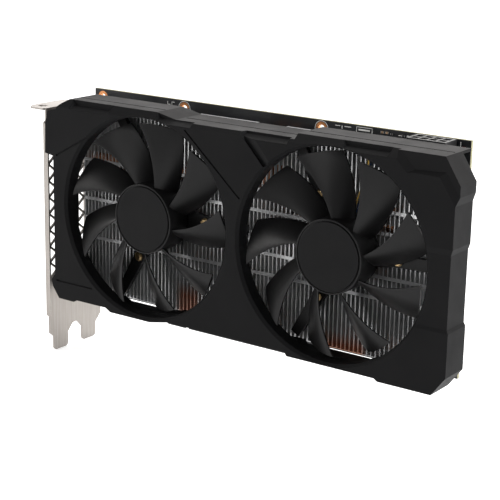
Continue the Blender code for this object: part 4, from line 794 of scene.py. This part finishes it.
def makeLead(side, look):
    axis = fanAxis(side)
    x, z, front, bend = axis.x, axis.z, look["front"], look["bend"]
    over = x + look["offset"][side]
    low = cardBox("fin_stack")[1].z - look["belowFins"] - bend
    route = [(x + aside, front, z + up) for aside, up in look["rise"]]
    route.append((over - look["joinShort"], front, z + look["joinHeight"]))
    route.append((over, front, low - look["joinBelow"]))
    line = smoothRoute(route, look["stepsPerPoint"])
    quarter = [math.pi / 2 / look["stepsPerBend"] * i for i in range(look["stepsPerBend"] + 1)]
    seat = look["seat"]
    line += [Vector((over, front + bend - bend * math.cos(a), low + bend * math.sin(a))) for a in quarter]
    line += [Vector((over, seat - bend + bend * math.sin(a), low + bend * math.cos(a))) for a in quarter]
    line.append(Vector((over, seat, low - look["seatDepth"])))
    for index, finish in enumerate(look["colors"]):
        angle = math.pi / 4 + index * math.pi / 2  # the four wires lie round the lead's middle
        shape = bmesh.new()
        moved = []
        for i, point in enumerate(line):
            ahead = (line[min(i + 1, len(line) - 1)] - line[max(i - 1, 0)]).normalized()
            across = Vector((1, 0, 0))
            across = (across - ahead * across.dot(ahead)).normalized()
            other = ahead.cross(across)
            moved.append(point + look["spread"] * (math.cos(angle) * across + math.sin(angle) * other))
        addTube(shape, moved, look["wireRadius"])
        wire = makePiece(f"{side}Wire{index + 1}", shape, finish, smooth=60)
        if index == 0:
            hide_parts(f"fan_{side}_lead")


for side in ("left", "right"):
    makeLead(side, leadLook)
print("the fan leads are made")


boardDetails = {
    "ringsX": (6.5, 56.5, 132.5),
    "ringBelowTop": 3.8,
    "ringOuter": 2.9,
    "ringHole": 1.62,
    "plating": 0.05,
    "ringSides": 32,
    "platingInHole": 0.1,
    "outlinedRings": (56.5, 132.5),
    "outline": (3.25, 3.5),
    "contactRows": ((47.2, 11), (60.7, 71)),       # where each row starts, number of contacts
    "contactPitch": 1.0,
    "contactWidth": 0.7,
    "contactHeight": (0.9, 6.6),
    "contactRise": (-0.01, 0.035),
    "inkRise": (0.005, 0.03),
    "marks": (                                     # bars and an empty frame: x from, to, z from, to
        (46.4, 48.2, -2.9, -2.6), (46.4, 46.7, -2.9, -1.4), (48.9, 50.6, -1.7, -1.4),
        (48.9, 49.2, -2.9, -1.4),
        (139.5, 142.0, -1.6, -1.3), (142.8, 143.2, -2.6, -1.3), (144.2, 147.6, -1.6, -1.3),
        (150.2, 158.2, -0.95, -0.7), (150.2, 158.2, -4.6, -4.35), (150.2, 150.45, -4.6, -0.7),
        (157.95, 158.2, -4.6, -0.7), (151.3, 157.0, -2.3, -1.6), (151.3, 154.6, -3.6, -3.1),
        (200.2, 200.5, -9.0, -1.0), (171.0, 172.6, -2.2, -1.9), (175.0, 176.0, -2.6, -1.6),
    ),
    "rearFrames": (                                # frames round groups of parts: x from, to, z from, to
        (20, 34, 40, 52), (20, 34, 60, 72), (150, 172, 44, 58), (150, 172, 66, 80), (60, 74, 96, 106),
    ),
    "frameLine": 0.25,
    "laminateProud": 0.015,
    "laminateInset": 0.12,
    "laminateDepth": 0.2,
    "laminateLow": 8.2,                            # the free end's bare edge starts this far up
    "laminateEnd": 0.05,
}


def makeBoardDetails(look):
    low, high = cardBox("pcb")
    ringZ = high.z - look["ringBelowTop"]
    hole, outer = look["ringHole"], look["ringOuter"]
    wall, plating, sides = hole + look["platingInHole"], look["plating"], look["ringSides"]
    rings, ink, contacts = bmesh.new(), bmesh.new(), bmesh.new()
    for x in look["ringsX"]:
        addTurned(rings, (x, ringZ), [
            (hole, low.y - plating), (outer, low.y - plating), (outer, low.y), (wall, low.y),
            (wall, high.y), (outer, high.y), (outer, high.y + plating), (hole, high.y + plating)], sides)
    makePiece("platedRings", rings, "ring copper", smooth=30)

    inner, outer = look["outline"]
    for face, away in ((low.y, -1), (high.y, 1)):
        near, far = sorted(face + away * rise for rise in look["inkRise"])
        for x in look["outlinedRings"]:
            addTurned(ink, (x, ringZ), [(inner, near), (outer, near), (outer, far), (inner, far)], sides)
        near, far = sorted(face + away * rise for rise in look["contactRise"])
        for start, count in look["contactRows"]:
            for i in range(count):
                x = start + i * look["contactPitch"]
                addBox(contacts, (x, near, low.z + look["contactHeight"][0]),
                       (x + look["contactWidth"], far, low.z + look["contactHeight"][1]))
    makePiece("edgeContacts", contacts, "gold plate")

    least, most = look["inkRise"]
    for x0, x1, z0, z1 in look["marks"]:
        addBox(ink, (x0, low.y - most, high.z + z0), (x1, low.y - least, high.z + z1))
    line = look["frameLine"]
    for x0, x1, z0, z1 in look["rearFrames"]:
        bars = ((x0, x1, z0, z0 + line), (x0, x1, z1 - line, z1),
                (x0, x0 + line, z0, z1), (x1 - line, x1, z0, z1))
        for a, b, c, d in bars:
            addBox(ink, (a, high.y + least, c), (b, high.y + most, d))
    makePiece("boardMarks", ink, "white ink")

    # bare laminate along the board's edges
    edge = bmesh.new()
    proud, depth, end = look["laminateProud"], look["laminateDepth"], look["laminateEnd"]
    y0, y1 = low.y + look["laminateInset"], high.y - look["laminateInset"]
    addBox(edge, (high.x - depth, y0, low.z + look["laminateLow"]), (high.x + proud, y1, high.z - end))
    addBox(edge, (low.x + end, y0, high.z - depth), (high.x - depth, y1, high.z + proud))
    makePiece("boardEdge", edge, "laminate")


makeBoardDetails(boardDetails)


smallLook = {
    "seed": 11,
    "sizes": ((1.0, 0.5, 0.45), (1.6, 0.8, 0.6), (2.0, 1.25, 0.8)),
    "endLength": 0.22,                             # tinned ends
    "endProud": 0.02,
    "filledShare": 0.62,
    "tanShare": 0.6,
    "uprightShare": 0.35,
    "offLine": 0.3,
    "plateRoom": 1.0,
    "clearX": (92, 126),                           # between the plate's arms, where parts fit
    "clearZ": (66.5, 84),                          # the plate's middle, where they don't
    "frontRows": (                                 # x, z below the top edge, size, finish
        (163.4, 1.6, 1, "ceramic tan"), (165.6, 1.6, 1, "ceramic tan"), (167.8, 1.9, 0, "chip mould"),
        (173.6, 2.0, 1, "chip mould"), (177.4, 1.7, 0, "ceramic tan"), (201.8, 3.6, 2, "red film"),
    ),
    "backBlocks": (                                # x from, to, z from, to, step x, step z, size
        (96.0, 122.0, 58.0, 66.0, 3.4, 2.0, 0), (96.0, 122.0, 84.5, 92.0, 3.4, 2.0, 0),
        (20.0, 78.0, 34.0, 50.0, 5.2, 3.6, 0), (20.0, 78.0, 104.0, 118.0, 5.6, 3.8, 1),
        (142.0, 178.0, 34.0, 60.0, 4.8, 3.4, 1), (142.0, 178.0, 84.0, 112.0, 5.4, 3.8, 0),
        (22.0, 74.0, 66.0, 92.0, 6.4, 4.4, 1),
    ),
    "backChips": (                                 # x, z, width, height, rise
        (34.0, 57.0, 9.0, 9.0, 1.0), (58.0, 57.0, 5.0, 6.2, 1.5), (160.0, 74.0, 7.0, 7.0, 0.9),
        (184.0, 46.0, 6.5, 5.0, 1.0), (184.0, 62.0, 6.5, 5.0, 1.0), (184.0, 78.0, 6.5, 5.0, 1.0),
        (184.0, 94.0, 6.5, 5.0, 1.0), (60.0, 99.0, 5.0, 4.0, 1.4),
    ),
    "chipGap": 0.05,
    "legPitch": 0.8,
    "legMiddle": 0.25,                             # from the chip's side
    "legSize": (0.3, 0.22, 0.14),                  # half length, rise, half width
}


def addSmall(bodies, ends, x, y, z, size, away, upright, look):
    long, wide, rise = size
    cap, proud = look["endLength"], look["endProud"]
    near, far = sorted((y, y + away * rise))
    endFar = far + proud * (away > 0)
    if upright:
        dx, dz = wide / 2, long / 2
        addBox(bodies, (x - dx, near, z - dz + cap), (x + dx, far, z + dz - cap))
    else:
        dx, dz = long / 2, wide / 2
        addBox(bodies, (x - dx + cap, near, z - dz), (x + dx - cap, far, z + dz))
    for sign in (-1, 1):
        if upright:
            edge = z + sign * (dz - cap / 2)
            addBox(ends, (x - dx - proud, near, edge - cap / 2), (x + dx + proud, endFar, edge + cap / 2))
        else:
            edge = x + sign * (dx - cap / 2)
            addBox(ends, (edge - cap / 2, near, z - dz - proud), (edge + cap / 2, endFar, z + dz + proud))


def makeSmallParts(look):
    low, high = cardBox("pcb")
    plateLow, plateHigh = cardBox("retention_plate")
    room = look["plateRoom"]
    rng = random.Random(look["seed"])
    ends = bmesh.new()
    bodies = {name: bmesh.new() for name in ("ceramic tan", "chip mould", "red film")}

    def free(x, z):
        besidePlate = not plateLow.x - room < x < plateHigh.x + room
        betweenArms = look["clearX"][0] < x < look["clearX"][1]
        offMiddle = z < look["clearZ"][0] or z > look["clearZ"][1]
        return besidePlate or (betweenArms and offMiddle)

    for x, below, size, finish in look["frontRows"]:
        addSmall(bodies[finish], ends, x, low.y, high.z - below, look["sizes"][size], -1, False, look)
    for x0, x1, z0, z1, stepX, stepZ, size in look["backBlocks"]:
        x = x0
        while x < x1:
            z = z0
            while z < z1:
                draw = rng.random()
                if draw < look["filledShare"] and free(x, z):
                    finish = "ceramic tan" if rng.random() < look["tanShare"] else "chip mould"
                    middle = x + rng.uniform(-look["offLine"], look["offLine"])
                    upright = rng.random() < look["uprightShare"]
                    addSmall(bodies[finish], ends, middle, high.y, z, look["sizes"][size], 1, upright, look)
                z += stepZ
            x += stepX
    chips = bmesh.new()
    legLong, legRise, legWide = look["legSize"]
    for x, z, wide, tall, rise in look["backChips"]:
        addBox(chips, (x - wide / 2, high.y + look["chipGap"], z - tall / 2),
               (x + wide / 2, high.y + rise, z + tall / 2))
        legs = int(tall / look["legPitch"])
        for i in range(legs):
            level = z - tall / 2 + (i + 0.5) * tall / legs
            for sign in (-1, 1):
                edge = x + sign * (wide / 2 + look["legMiddle"])
                addBox(ends, (edge - legLong, high.y, level - legWide),
                       (edge + legLong, high.y + legRise, level + legWide))
    makePiece("rearChips", chips, "chip mould", bevel=0.12)
    names = {"ceramic tan": "tanParts", "chip mould": "darkParts", "red film": "redPart"}
    for finish, shape in bodies.items():
        makePiece(names[finish], shape, finish)
    makePiece("partEnds", ends, "tin")


makeSmallParts(smallLook)

solderLook = {
    "jointRadius": 0.85,
    "jointRise": 0.75,
    "domeCurve": ((0.92, 0.25), (0.62, 0.62), (0.3, 0.92)),  # shares of the radius and the rise
    "sides": 14,
    "cellPitch": 4.2,
    "socketRows": 2,
    "socketColumns": 4,
    "socketRowUp": 3.0,
    "chokeJoints": 6.5,
    "capacitorJoints": 2.5,
    "portJointsX": (3.2, 7.6),
    "portInset": 0.6,
}


def makeSolder(look):
    back = cardBox("pcb")[1].y
    joints = bmesh.new()
    radius, rise = look["jointRadius"], look["jointRise"]
    curve = [(radius * out, back + rise * up) for out, up in look["domeCurve"]]
    dome = [(0, back), (radius, back)] + curve + [(0, back + rise)]

    def addJoint(x, z):
        addTurned(joints, (x, z), dome, look["sides"])

    low, high = cardBox("power_socket")
    firstX = (low.x + high.x) / 2 - (look["socketColumns"] - 1) / 2 * look["cellPitch"]
    for row in range(look["socketRows"]):
        z = low.z + look["socketRowUp"] + row * look["cellPitch"]
        for column in range(look["socketColumns"]):
            addJoint(firstX + column * look["cellPitch"], z)
    for index in range(1, 5):
        low, high = cardBox(f"choke_{index}")
        for sign in (-1, 1):
            addJoint((low.x + high.x) / 2, (low.z + high.z) / 2 + sign * look["chokeJoints"] / 2)
    for index in (1, 2):
        low, high = cardBox(f"capacitor_{index}")
        for sign in (-1, 1):
            addJoint((low.x + high.x) / 2 + sign * look["capacitorJoints"] / 2, (low.z + high.z) / 2)
    for port in ("display_port_1", "display_port_2", "display_port_3", "hdmi_port"):
        low, high = cardBox(port)
        for x in look["portJointsX"]:
            for z in (low.z + look["portInset"], high.z - look["portInset"]):
                addJoint(x, z)
    makePiece("solderJoints", joints, "solder", smooth=50)


makeSolder(solderLook)

pinLook = {
    "width": 1.15,
    "belowTop": 2.2,
    "cellPitch": 4.2,
    "rows": 2,
    "columns": 4,
    "wall": 0.75,
    "cellDepth": 9.0,
}


def makePins(look):
    low, high = cardBox("power_socket")
    boardSide = high.y
    shape = bmesh.new()
    half = look["width"] / 2
    middle = (low.x + high.x) / 2
    for row in range(look["rows"]):
        for column in range(look["columns"]):
            x = middle + (column - (look["columns"] - 1) / 2) * look["cellPitch"]
            y = boardSide - look["wall"] - look["cellPitch"] * (row + 0.5)
            base, tip = high.z - look["cellDepth"], high.z - look["belowTop"]
            addBox(shape, (x - half, y - half, base), (x + half, y + half, tip))
    makePiece("powerPins", shape, "tin", bevel=0.25)


makePins(pinLook)
print("the board details are made")
